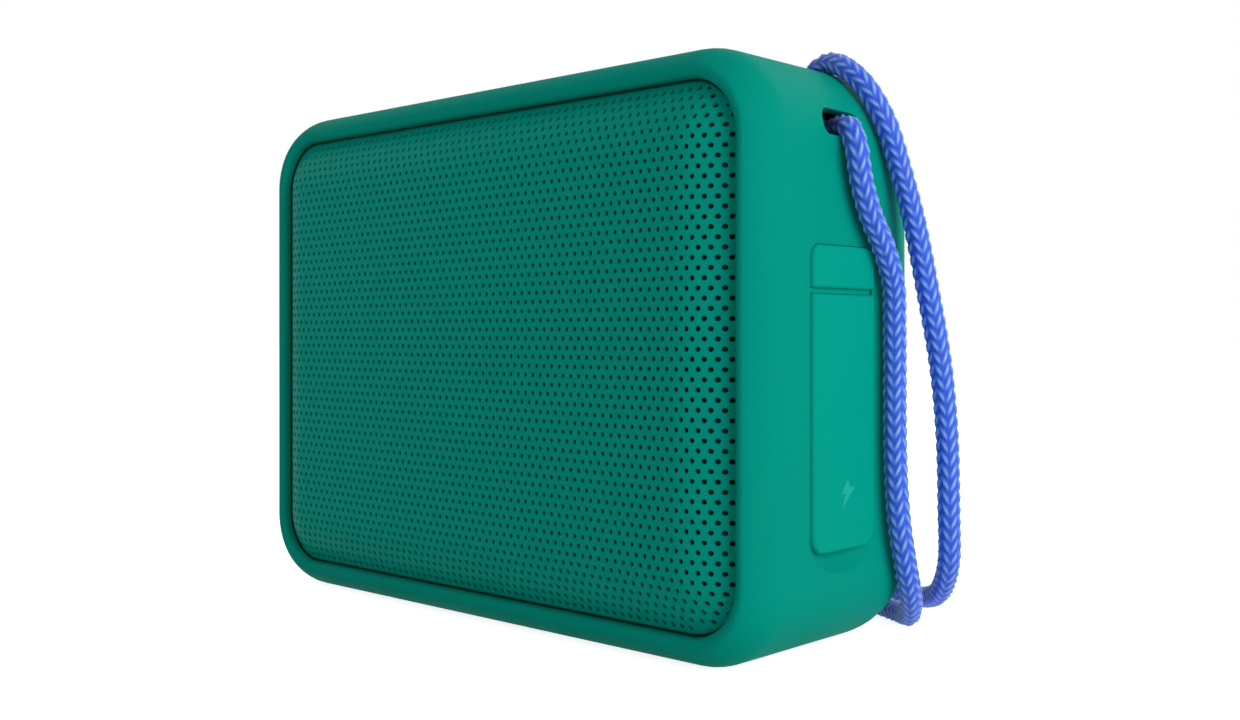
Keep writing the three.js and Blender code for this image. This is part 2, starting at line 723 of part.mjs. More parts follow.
function makeCone() {
  const capFront = coneBack - coneThickness - dustCapRise;
  const middleRadius = (coneRadius + coneBackRadius) / 2;
  const middleDepth = coneFront + coneDepth * coneBendShare;
  const shoulderRadius = coneBackRadius * dustCapShoulderShares[0];
  const shoulderDepth = capFront + dustCapRise * dustCapShoulderShares[1];
  const profile = [
    [0, capFront], [shoulderRadius, shoulderDepth], [coneBackRadius, coneBack - coneThickness],
    [middleRadius, middleDepth - coneThickness], [coneRadius, coneFront], [coneRadius, coneFront + coneThickness],
    [middleRadius, middleDepth], [coneBackRadius, coneBack], [shoulderRadius, shoulderDepth + coneThickness],
    [0, capFront + coneThickness],
  ];
  return turned(profile, turnSides);
}

function makeCoil() {
  const front = coneBack + seatGap;
  const profile = [
    [coilRadius, front], [coneBackRadius, front],
    [coneBackRadius, front + coilDepth], [coilRadius, front + coilDepth],
  ];
  return turned(profile, turnSides);
}

function makeSurround() {
  const inner = coneRadius + seatGap;
  const outer = driverApertureRadius - seatGap;
  const centre = (inner + outer) / 2;
  const back = flangeFront - seatGap;
  const half = (outer - inner) / 2;
  const arc = (radius, rise) => {
    const points = [];
    for (let i = 0; i <= rollSteps; i += 1) {
      const angle = (i / rollSteps) * 2 * quarter;
      points.push([centre - radius * Math.cos(angle), back - rise * Math.sin(angle)]);
    }
    return points;
  };
  const outside = arc(half, surroundRise);
  const inside = arc(half - surroundThickness, surroundRise - surroundThickness).reverse();
  return turned([...outside, ...inside], turnSides);
}

function makeSpider() {
  const front = basketBack - basketWall - seatGap - spiderThickness;
  const profile = [
    [coneBackRadius + seatGap, front], [spiderRadius, front],
    [spiderRadius, front + spiderThickness], [coneBackRadius + seatGap, front + spiderThickness],
  ];
  return turned(profile, turnSides);
}

// Passive radiator: an oval ring, a rubber roll and a stiff weighted plate
function oval(width, height, from, to) {
  return prism(roundedRectangle(middle, radiatorX, height, width, width / 2), alongY, from, to);
}

function makeRadiatorFrame() {
  const ring = oval(radiatorWidth, radiatorHeight, flangeFront, flangeFront + radiatorRingDepth);
  const inner = oval(
    radiatorWidth - 2 * radiatorRing, radiatorHeight - 2 * radiatorRing,
    flangeFront - cutterOverrun, flangeFront + radiatorRingDepth + cutterOverrun);
  return cut(ring, inner);
}

function makeRadiatorRoll() {
  const outerWidth = radiatorWidth - 2 * radiatorRing - 2 * seatGap;
  const outerHeight = radiatorHeight - 2 * radiatorRing - 2 * seatGap;
  const innerWidth = radiatorMassWidth + 2 * seatGap;
  const innerHeight = radiatorMassHeight + 2 * seatGap;
  const back = flangeFront - seatGap;
  const ringAt = (share, y) => {
    const width = outerWidth + (innerWidth - outerWidth) * share;
    const height = outerHeight + (innerHeight - outerHeight) * share;
    return outline(width / 2, height / 2, width / 2, y, radiatorX);
  };
  const rollAt = (setBack) => radiatorRollShares.map((rise, i) => ringAt(
    i / (radiatorRollShares.length - 1), back - radiatorRise * rise - setBack));
  return tubeOf([...rollAt(surroundThickness), ...rollAt(0).reverse()]);
}

// A closed band: rings joined in a loop, the last to the first
function tubeOf(rings) {
  const count = rings[0].length;
  const index = [];
  rings.forEach((ring, r) => {
    const next = (r + 1) % rings.length;
    for (let k = 0; k < count; k += 1) {
      const right = (k + 1) % count;
      index.push(r * count + k, r * count + right, next * count + right);
      index.push(r * count + k, next * count + right, next * count + k);
    }
  });
  const geometry = new THREE.BufferGeometry();
  geometry.setAttribute("position", new THREE.Float32BufferAttribute(rings.flat(2), 3));
  geometry.setIndex(index);
  const solid = solidOf(geometry);
  if (solid.volume() > 0) return solid;
  geometry.setIndex(index.reverse());
  return solidOf(geometry);
}

function makeRadiatorMass() {
  const front = flangeFront - seatGap - surroundThickness;
  return oval(radiatorMassWidth, radiatorMassHeight, front, front + radiatorMassThickness);
}

function makeScrew([x, z]) {
  const head = rodY(screwHead, x, [baffleFront, screwHeadBack], z, pinSides);
  const shank = rodY(screwShank, x, [baffleFront, screwTip], z, smallSides);
  return join(head, shank);
}

// Buttons, switches and their board
function makeButton(x) {
  const top = bodyHeight + buttonProud;
  const cap = rodZ(buttonRadius, x, buttonY, [top - buttonSkin, top], turnSides);
  const stem = rodZ(buttonStemRadius, x, buttonY, [switchTop + seatGap + buttonTravel, top], pinSides);
  return join(cap, stem);
}

function makeSwitch(x) {
  const half = switchSize / 2;
  const foot = buttonBoardTop + seatGap;
  const body = block([x - half, x + half], [buttonY - half, buttonY + half], [foot, foot + switchHeight]);
  const plunger = rodZ(switchPlungerRadius, x, buttonY, [foot, switchTop], pinSides);
  return join(body, plunger);
}

function makeButtonBoard() {
  return block(
    [-buttonReach - buttonBoardLeftReach, buttonReach + buttonBoardRightReach],
    [buttonY - buttonBoardDepth / 2, buttonY + buttonBoardDepth / 2],
    [buttonBoardTop - boardThickness, buttonBoardTop]);
}

function makeLightPipe() {
  return rodZ(pipeRadius, pipeX, buttonY, [buttonBoardTop + seatGap, bodyHeight], smallSides);
}

function makeMicrophone() {
  return rodZ(
    microphoneRadius, pipeX, microphoneY, [buttonBoardTop + seatGap, bodyHeight - jacketWall - seatGap], pinSides);
}

// Ports, boards and the radio module
function makeMainBoard() {
  return block(
    [boardLeft, boardRight], [boardY - boardThickness / 2, boardY + boardThickness / 2], [boardBottom, boardTop]);
}

function makeChargingSocket() {
  const mouth = housingRight - seatGap;
  const back = mouth - portDepth;
  const shell = prism(roundedRectangle(portY, portZ, portHeight, portWidth, portCorner), alongX, back, mouth);
  const innerHeight = portHeight - 2 * portShell;
  const innerWidth = portWidth - 2 * portShell;
  const inside = prism(
    roundedRectangle(portY, portZ, innerHeight, innerWidth, portCorner - portShell),
    alongX, back + portShell, mouth + cutterOverrun);
  const tongue = block(
    [back, mouth - portTongueSetback],
    [portY - portTongueThickness / 2, portY + portTongueThickness / 2],
    [portZ - portTongueWidth / 2, portZ + portTongueWidth / 2]);
  return join(cut(shell, inside), tongue);
}

function makeAudioSocket() {
  const mouth = housingRight - seatGap;
  const body = block(
    [boardRight - jackBodyLength, boardRight], [jackY - jackBodyDepth / 2, jackY + jackBodyDepth / 2],
    [jackZ - jackBodyWidth / 2, jackZ + jackBodyWidth / 2]);
  const nose = rodX(jackNoseRadius, [boardRight - jackBodyLength, mouth], jackY, jackZ, pinSides);
  const bore = rodX(jackBoreRadius, [mouth - jackBoreDepth, mouth + cutterOverrun], jackY, jackZ, pinSides);
  return cut(join(body, nose), bore);
}

function makeRadioModule() {
  const back = boardY - boardThickness / 2 - seatGap;
  const left = boardLeft + moduleInset;
  const top = boardTop - moduleInset;
  return block([left, left + moduleWidth], [back - moduleThickness, back], [top - moduleHeight, top]);
}

function makeCell() {
  const body = rodX(cellRadius, [cellX - cellLength / 2, cellRight], cellY, cellZ, turnSides);
  const nub = rodX(cellNubRadius, [cellX, cellRight + cellNubLength], cellY, cellZ, pinSides);
  return join(body, nub);
}

// Port flap: one pad, parted at the hinge line into a fixed tab and a leaf with a plug behind it
function makePad() {
  return prism(
    roundedRectangle(flapY, (tabTop + flapBottom) / 2, flapWidth, tabTop - flapBottom, flapCorner),
    alongX, flapFloor, rightPlane + flapProud);
}

function aboveHinge(edge) {
  return block([0, rightPlane + cutterOverrun], [flapY - flapWidth, flapY + flapWidth], [edge, bodyHeight]);
}

function makeFlap() {
  const leaf = cut(makePad(), aboveHinge(hingeLine - hingeGroove / 2));
  const plugMiddle = (plugTop + plugBottom) / 2;
  const [wide, tall] = [plugWidth - 2 * seatGap, plugTop - plugBottom - 2 * seatGap];
  const plug = prism(
    roundedRectangle(flapY, plugMiddle, wide, tall, plugCorner - seatGap),
    alongX, housingRight + seatGap, flapFloor + flapInset);
  const hollow = prism(
    roundedRectangle(flapY, plugMiddle, wide - 2 * plugWall, tall - 2 * plugWall, plugWall / 2),
    alongX, housingRight - cutterOverrun, flapFloor);
  return join(leaf, cut(plug, hollow));
}

function makeTab() {
  return makePad().intersect(aboveHinge(hingeLine + hingeGroove / 2));
}

// Cord and the block that its two ends are crimped into
function tubeAlong(points, radius, sides, steps) {
  const corners = [];
  for (let i = 0; i < sides; i += 1) {
    const angle = (i / sides) * 4 * quarter;
    corners.push(new THREE.Vector2(radius * Math.cos(angle), radius * Math.sin(angle)));
  }
  const path = new THREE.CatmullRomCurve3(points, false, "centripetal");
  const geometry = new THREE.ExtrudeGeometry(
    new THREE.Shape(corners), { steps, bevelEnabled: false, extrudePath: path });
  return solidOf(geometry);
}

function makeCord() {
  const points = cordRoute.map((place) => new THREE.Vector3(...place));
  return tubeAlong(points, cordDiameter / 2, cordSides, cordSteps);
}

function makeClamp() {
  const right = pocketRight - clampInset;
  return block(
    [right - clampLength, right], [sideSlotY - clampFrontMargin, topSlotY + clampBackMargin],
    [pocketFloor + seatGap, pocketTop - clampHeadroom]);
}

// Leads from the board to the driver and from the cell to the board
function makeSpeakerLead() {
  const end = boardLeft - seatGap - leadRadius;
  const start = middle + magnetRadius + seatGap;
  const magnetMiddle = basketBack + seatGap + magnetLength / 2;
  const points = [
    new THREE.Vector3(driverX, magnetMiddle, start),
    new THREE.Vector3(driverX, magnetMiddle, start + leadArch / 2),
    new THREE.Vector3((driverX + end) / 2, (magnetMiddle + boardY) / 2, start + leadArch),
    new THREE.Vector3(end - leadRise, boardY, start),
    new THREE.Vector3(end, boardY, middle),
  ];
  return tubeAlong(points, leadRadius, leadSides, leadSteps);
}

function makeBatteryLead() {
  const from = cellRight + cellNubLength + seatGap;
  const boardBack = boardY + boardThickness / 2 + seatGap;
  const points = [
    new THREE.Vector3(from, cellY, cellZ),
    new THREE.Vector3(from + leadRise, cellY, cellZ + leadRise),
    new THREE.Vector3(from + leadRise, (cellY + boardBack) / 2, boardBottom + leadRise),
    new THREE.Vector3(from + leadRise, boardBack, boardBottom + 2 * leadRise),
  ];
  return tubeAlong(points, leadRadius, leadSides, leadSteps);
}

// The whole speaker
const speaker = new THREE.Group();

const shells = new THREE.Group();
shells.add(
  node("rubber_jacket", makeJacket(), rubber),
  node("rear_housing", makeTub(), darkPlastic),
  node("front_baffle", makeBaffle(), darkPlastic),
  node("baffle_gasket", makeGasket(), foam),
  node("grille", makeGrille(), paintedSteel),
  node("grille_cloth", makeCloth(), blackCloth),
  node("port_flap", makeFlap(), flapRubber),
  node("flap_tab", makeTab(), flapRubber),
);
screwPlaces.forEach((place, i) => {
  shells.add(node(`baffle_screw_${i + 1}`, makeScrew(place), zincSteel));
});
speaker.add(shells);

const driver = new THREE.Group();
driver.position.set(driverX, 0, middle);
driver.add(
  node("driver_frame", makeDriverFrame(), zincSteel),
  node("driver_magnet", makeMagnet(), ferrite),
  node("driver_cone", makeCone(), paperCone),
  node("voice_coil", makeCoil(), copper),
  node("driver_surround", makeSurround(), surroundRubber),
  node("driver_spider", makeSpider(), foam),
);
speaker.add(driver);

const radiator = new THREE.Group();
radiator.add(
  node("radiator_frame", makeRadiatorFrame(), darkPlastic),
  node("radiator_surround", makeRadiatorRoll(), surroundRubber),
  node("radiator_mass", makeRadiatorMass(), zincSteel),
);
speaker.add(radiator);

const electronics = new THREE.Group();
electronics.add(
  node("main_board", makeMainBoard(), circuitGreen),
  node("charging_socket", makeChargingSocket(), zincSteel),
  node("audio_socket", makeAudioSocket(), darkPlastic),
  node("radio_module", makeRadioModule(), zincSteel),
  node("battery_cell", makeCell(), cellWrap),
  node("button_board", makeButtonBoard(), circuitGreen),
  node("light_pipe", makeLightPipe(), clearPlastic),
  node("microphone", makeMicrophone(), surroundRubber),
  node("speaker_lead", makeSpeakerLead(), leadRed),
  node("battery_lead", makeBatteryLead(), leadRed),
);
speaker.add(electronics);

const buttonNames = ["power_button", "volume_down_button", "play_button", "volume_up_button", "pairing_button"];
buttonPlaces.forEach((x, i) => {
  electronics.add(node(`button_switch_${i + 1}`, makeSwitch(x), switchBlack));
  shells.add(node(buttonNames[i], makeButton(x), flapRubber));
});

const cordSet = new THREE.Group();
cordSet.add(
  node("cord_clamp", makeClamp(), darkPlastic),
  node("wrist_cord", makeCord(), cordBlue),
);
speaker.add(cordSet);

export default speaker;
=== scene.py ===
# %% [markdown]
# # A small rubber-skinned speaker
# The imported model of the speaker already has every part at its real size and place. This lesson dresses
# it: the parts that are seen are modelled again with softer edges, real perforation and real knitting,
# and every part gets a finish made from nodes. All lengths are metres, and a size is written as
# millimetres times MM, because that is how such a product is drawn.
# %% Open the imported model
import math

import bmesh
import bpy
import numpy as np
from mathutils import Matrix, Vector


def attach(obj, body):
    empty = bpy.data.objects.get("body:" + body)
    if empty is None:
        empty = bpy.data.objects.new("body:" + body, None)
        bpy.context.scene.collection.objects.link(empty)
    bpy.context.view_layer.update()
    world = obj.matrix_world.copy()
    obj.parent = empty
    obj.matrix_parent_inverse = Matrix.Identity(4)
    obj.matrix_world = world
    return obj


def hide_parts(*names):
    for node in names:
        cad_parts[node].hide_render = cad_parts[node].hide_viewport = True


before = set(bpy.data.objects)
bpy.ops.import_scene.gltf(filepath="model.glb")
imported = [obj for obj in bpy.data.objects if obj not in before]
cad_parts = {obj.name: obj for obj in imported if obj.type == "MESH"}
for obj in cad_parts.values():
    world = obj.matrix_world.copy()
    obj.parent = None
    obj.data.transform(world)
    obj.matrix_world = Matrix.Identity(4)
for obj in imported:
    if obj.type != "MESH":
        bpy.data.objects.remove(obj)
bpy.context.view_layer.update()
MM = 0.001
QUARTER = math.pi / 2

# %% [markdown]
# ## The camera
# The camera stands level, in front of the right-hand corner, a little above half the speaker's height. A
# level camera keeps upright edges upright. The small vertical shift frames the speaker without tilting
# the camera, as a shift lens does in product photography.
# %% Set up the camera
CAMERA_PLACE = (153.04 * MM, -152.56 * MM, 44.1 * MM)
CAMERA_TURN = math.radians(42.88)
bpy.ops.object.select_all(action="DESELECT")
bpy.ops.object.camera_add(location=CAMERA_PLACE, rotation=(QUARTER, 0, CAMERA_TURN))
camera = bpy.context.object
camera.data.sensor_width = 36
camera.data.lens = 38.28
camera.data.shift_y = -0.0209
camera.data.clip_start = 10 * MM
bpy.context.scene.camera = camera
bpy.context.scene.view_settings.view_transform = "Standard"
print("camera looks along", camera.rotation_euler.to_matrix() @ Vector((0, 0, -1)))

# %% [markdown]
# ## The wrist cord's line
# The real cord is a knitted tube of thin blue yarn. Its two ends go into a side slot and a top slot at
# one corner and are crimped inside. A cord is a fixed length of something limp, so its line comes first:
# out of the side slot, down the side, round on the table behind the speaker, up again and over the
# corner. A centripetal Catmull-Rom curve passes through every chosen point and doesn't overshoot where
# points lie close together.
# %% Choose the route
ROUTE = MM * np.array([
    (46.6, 1.0, 72.3), (50.2, 0.6, 72.2), (53.2, -0.9, 72.2), (55.4, -2.2, 71.6), (56.7, -2.6, 69.1),
    (56.8, -1.7, 65.2), (56.8, 0.5, 60.6), (56.8, 4.1, 55.9), (56.8, 6.6, 51.0), (56.7, 7.1, 45.0),
    (56.8, 7.2, 26.0), (56.9, 7.9, 18.4), (56.7, 9.9, 12.0), (55.4, 13.6, 6.6), (52.2, 18.6, 2.9),
    (47.0, 23.9, 1.75), (40.0, 27.3, 1.75), (32.0, 28.7, 1.75), (24.8, 30.6, 1.75), (20.8, 34.6, 1.75),
    (21.6, 39.6, 1.75), (26.5, 41.8, 1.75), (34.0, 40.3, 1.75), (41.5, 35.9, 2.0), (49.5, 28.6, 3.6),
    (56.2, 21.0, 6.9), (59.9, 16.4, 12.0), (61.2, 14.0, 19.5), (61.3, 13.3, 30.0), (60.6, 12.7, 40.0),
    (59.2, 11.4, 51.0), (57.8, 10.3, 60.0), (56.6, 8.5, 67.4), (56.0, 5.9, 73.2), (53.8, 4.4, 78.1),
    (50.6, 4.5, 81.15), (47.1, 5.7, 82.65), (43.9, 6.6, 81.9), (42.2, 6.8, 79.6), (42.0, 6.8, 76.6),
])


def smooth_line(points, samples=24):
    """A centripetal Catmull-Rom curve through the points."""
    ends = [2 * points[0] - points[1]], [2 * points[-1] - points[-2]]
    padded = np.vstack([ends[0], points, ends[1]])
    line = []
    for a, b, c, d in zip(padded, padded[1:], padded[2:], padded[3:]):
        knots = np.cumsum([0] + [np.linalg.norm(q - p) ** 0.5 for p, q in ((a, b), (b, c), (c, d))])
        for t in np.linspace(knots[1], knots[2], samples, endpoint=False):
            def between(p, q, start, end):
                return ((end - t) * p + (t - start) * q) / (end - start)
            ab = between(a, b, knots[0], knots[1])
            bc = between(b, c, knots[1], knots[2])
            cd = between(c, d, knots[2], knots[3])
            line.append(between(between(ab, bc, knots[0], knots[2]),
                                between(bc, cd, knots[1], knots[3]), knots[1], knots[2]))
    return np.array(line + [points[-1]])


def evenly(line, step):
    """The same line with points a step apart."""
    lengths = np.concatenate([[0], np.cumsum(np.linalg.norm(np.diff(line, axis=0), axis=1))])
    count = max(2, round(lengths[-1] / step) + 1)
    places = np.linspace(0, lengths[-1], count)
    return np.column_stack([np.interp(places, lengths, line[:, axis]) for axis in range(3)]), lengths[-1]


STITCH_RING = 0.16 * MM
cord_line, cord_length = evenly(smooth_line(ROUTE), STITCH_RING)
print(f"cord: {cord_length / MM:.1f} mm along {len(cord_line)} rings")

# %% [markdown]
# ## Knitting the cord
# Four columns of stitches run along the cord, and each stitch is a V of two slanting yarn legs. Winding
# real yarns would need millions of faces, so the tube itself is raised into legs: a wave that slants to
# each side of a column's middle, swells in the middle of a leg and sinks at the V's point and between
# columns. The same wave is kept as an attribute on the mesh, so the finish knows where a yarn is proud
# and where it is deep.
# %% Knit the tube
CORD_SIDES = 36
STITCH_COLUMNS = 4
STITCH_PITCH = 1.75 * MM
STITCH_SLANT = 1.05
CORD_TWIST = 0.16
CORD_CORE = 1.4 * MM
YARN_RISE = 0.3 * MM
LEG_EDGE = 0.04
LEG_SHARPNESS = 1.15
END_TAPER, END_SHARE = 0.6 * MM, 0.7


def travelling_frames(line):
    """Two side directions at each point, carried along the line without twisting."""
    tangents = np.gradient(line, axis=0)
    tangents /= np.linalg.norm(tangents, axis=1)[:, None]
    side = np.cross(tangents[0], (0, 1, 0))
    sides = []
    for tangent in tangents:
        side = side - tangent * np.dot(side, tangent)
        side = side / np.linalg.norm(side)
        sides.append(side)
    sides = np.array(sides)
    return sides, np.cross(tangents, sides)


def stitch_height(turn, distance):
    """0 in the deepest gap to 1 on the crown of a yarn leg."""
    column = (turn * STITCH_COLUMNS) % 1
    across = np.abs(2 * column - 1)
    wave = 0.5 + 0.5 * np.cos(2 * math.pi * (distance / STITCH_PITCH - STITCH_SLANT * across))
    swell = np.sin(math.pi * (LEG_EDGE + (1 - 2 * LEG_EDGE) * across))
    return wave ** LEG_SHARPNESS * swell


side_a, side_b = travelling_frames(cord_line)
ring_count = len(cord_line)
turns = np.arange(CORD_SIDES) / CORD_SIDES
distances = np.arange(ring_count) * cord_length / (ring_count - 1)
twist = CORD_TWIST * (1 - distances / cord_length)
heights = stitch_height(turns[None, :] + twist[:, None], distances[:, None])
taper = np.clip(np.minimum(distances, cord_length - distances) / END_TAPER, 0, 1)[:, None] ** 0.5
radii = (CORD_CORE + YARN_RISE * heights) * (END_SHARE + (1 - END_SHARE) * taper)
angles = 2 * math.pi * turns
cord_points = (cord_line[:, None, :]
               + radii[..., None] * (np.cos(angles)[None, :, None] * side_a[:, None, :]
                                     + np.sin(angles)[None, :, None] * side_b[:, None, :]))
cord_faces = [
    (r * CORD_SIDES + k, r * CORD_SIDES + (k + 1) % CORD_SIDES,
     (r + 1) * CORD_SIDES + (k + 1) % CORD_SIDES, (r + 1) * CORD_SIDES + k)
    for r in range(ring_count - 1) for k in range(CORD_SIDES)
]
cord_faces.append(tuple(reversed(range(CORD_SIDES))))
cord_faces.append(tuple(range((ring_count - 1) * CORD_SIDES, ring_count * CORD_SIDES)))
cord_mesh = bpy.data.meshes.new("knitted_cord")
cord_mesh.from_pydata(cord_points.reshape(-1, 3).tolist(), [], cord_faces)
yarn_height = cord_mesh.attributes.new("yarn_height", "FLOAT", "POINT")
yarn_height.data.foreach_set("value", heights.ravel().astype(np.float32))
cord_mesh.polygons.foreach_set("use_smooth", [True] * len(cord_faces))
knitted_cord = bpy.data.objects.new("knitted_cord", cord_mesh)
bpy.context.collection.objects.link(knitted_cord)
print("cord faces:", len(cord_faces))

# %% Give the yarn its own coordinates
cord_map = cord_mesh.uv_layers.new(name="along_cord")
corner_verts = np.zeros(len(cord_mesh.loops), dtype=np.int64)
cord_mesh.loops.foreach_get("vertex_index", corner_verts)
around = (corner_verts % CORD_SIDES) / CORD_SIDES
quad_corners = np.arange(len(corner_verts)) % 4
seam = (corner_verts % CORD_SIDES == 0) & ((quad_corners == 1) | (quad_corners == 2))
around = np.where(seam, 1.0, around)
along = distances[corner_verts // CORD_SIDES] / STITCH_PITCH
cord_map.data.foreach_set("uv", np.column_stack([around, along]).ravel().astype(np.float32))
print("stitches along the cord:", round(float(along.max())))

# %% [markdown]
# ## Tools for closed rubber and metal forms
# Most parts here are a closed outline that changes as it moves along one axis: a box with rounded edges,
# a button, a pad. As by hand, such a part starts as a circle with enough corners, the corners are laid on
# the first outline, and each next outline is extruded from the last. The ends are closed with one face
# each.
# %% Select one piece
def select_only(piece):
    """Nothing but the piece is selected, and it is the active object."""
    bpy.ops.object.select_all(action="DESELECT")
    piece.select_set(True)
    bpy.context.view_layer.objects.active = piece


# %% Draw a closed piece out through its outlines
def drawn_out(name, outlines):
    """A closed piece through a list of outlines that all have the same number of corners."""
    bpy.ops.object.select_all(action="DESELECT")
    bpy.ops.mesh.primitive_circle_add(vertices=len(outlines[0]), radius=1)
    piece = bpy.context.object
    piece.name = piece.data.name = name
    bpy.ops.object.mode_set(mode="EDIT")
    bpy.ops.mesh.select_mode(type="VERT")
    bpy.ops.mesh.select_all(action="SELECT")
    ring = list(range(len(outlines[0])))
    rings = [ring]
    edit = bmesh.from_edit_mesh(piece.data)
    edit.verts.ensure_lookup_table()
    for index, place in zip(ring, outlines[0]):
        edit.verts[index].co = place
    for outline in outlines[1:]:
        bpy.ops.mesh.extrude_edges_indiv()
        edit = bmesh.from_edit_mesh(piece.data)
        edit.verts.index_update()
        edit.verts.ensure_lookup_table()
        found = []
        for index in rings[-1]:
            vert = edit.verts[index]
            found.append(next(e.other_vert(vert).index for e in vert.link_edges if e.other_vert(vert).select))
        rings.append(found)
        for index, place in zip(found, outline):
            edit.verts[index].co = place
    for ring in (rings[0], rings[-1]):
        bpy.ops.mesh.select_all(action="DESELECT")
        edit = bmesh.from_edit_mesh(piece.data)
        edit.verts.ensure_lookup_table()
        for index in ring:
            edit.verts[index].select = True
        edit.select_flush_mode()
        bpy.ops.mesh.edge_face_add()
    edit = bmesh.from_edit_mesh(piece.data)
    edit.normal_update()
    bmesh.update_edit_mesh(piece.data)
    bpy.ops.mesh.select_all(action="SELECT")
    bpy.ops.mesh.normals_make_consistent(inside=False)
    bpy.ops.object.mode_set(mode="OBJECT")
    return piece


# %% Modify, combine, shade and settle
def modify(piece, kind, **settings):
    """The piece goes through a modifier with these settings, which is applied."""
    select_only(piece)
    modifier = piece.modifiers.new(kind.lower(), kind)
    for key, value in settings.items():
        setattr(modifier, key, value)
    bpy.ops.object.modifier_apply(modifier=modifier.name)


def combine(piece, other, operation):
    """Cuts the other piece out of the piece or joins it on, and then throws it away."""
    modify(piece, "BOOLEAN", operation=operation, solver="EXACT", object=other)
    bpy.data.objects.remove(other)


def shade(piece, angle=35):
    """Edges flatter than the angle look smooth, and the others stay crisp."""
    select_only(piece)
    bpy.ops.object.shade_smooth_by_angle(angle=math.radians(angle))


def settle(piece, material, slot, body, *nodes):
    """The piece takes its finish, rides on its body and stands for the nodes it replaces."""
    piece.data.materials.clear()
    piece.data.materials.append(material)
    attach(piece, body)
    if nodes:
        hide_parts(*nodes)
    print(f"{piece.name}: {len(piece.data.polygons)} faces on {body}")


# %% Outlines with rounded corners
def rounded(centre, size, radii, steps):
    """Corners of a rounded rectangle in a plane, anticlockwise from the lower right arc.
    radii are for the lower right, upper right, upper left and lower left corners."""
    points = []
    for turn, (side_u, side_v) in enumerate([(1, -1), (1, 1), (-1, 1), (-1, -1)]):
        radius = radii[turn]
        for step in range(steps + 1):
            angle = (turn - 1 + step / steps) * QUARTER
            points.append((
                centre[0] + side_u * (size[0] / 2 - radius) + radius * math.cos(angle),
                centre[1] + side_v * (size[1] / 2 - radius) + radius * math.sin(angle),
            ))
    return points


def shrunk(size, radii, inset, least=0.05 * MM):
    """Size and corner radii of a rounded rectangle after it is drawn in all round."""
    return (size[0] - 2 * inset, size[1] - 2 * inset), [max(radius - inset, least) for radius in radii]


def circle(centre, radius, sides):
    """Corners of a circle in a plane."""
    turns = [2 * math.pi * k / sides for k in range(sides)]
    return [(centre[0] + radius * math.cos(turn), centre[1] + radius * math.sin(turn)) for turn in turns]


print("a rounded square with 6 steps a corner has", len(rounded((0, 0), (1, 1), [0.1] * 4, 6)), "corners")

# %% [markdown]
# ## Finishes
# Each finish is one material around a Principled shader. What several finishes share is a node group:
# a fine grain for mould-textured rubber and plastic, and a slow cloudiness for the way a handled surface
# is never evenly clean. The groups read Object coordinates, so a pattern has its real size on every part.
# %% Colours as they are seen on a screen
def paint(red, green, blue):
    """A screen colour, 0 to 255, as the linear colour that a shader mixes."""
    shares = [c / 255 for c in (red, green, blue)]
    return tuple(c / 12.92 if c <= 0.04045 else ((c + 0.055) / 1.055) ** 2.4 for c in shares) + (1.0,)


def toned(colour, share):
    """The colour, lighter by a share, or darker where the share is below 0."""
    return tuple(min(1.0, c * (1 + share)) for c in colour[:3]) + (1.0,)


print("a screen's grey of 128 is this much light:", [round(c, 3) for c in paint(128, 128, 128)[:3]])


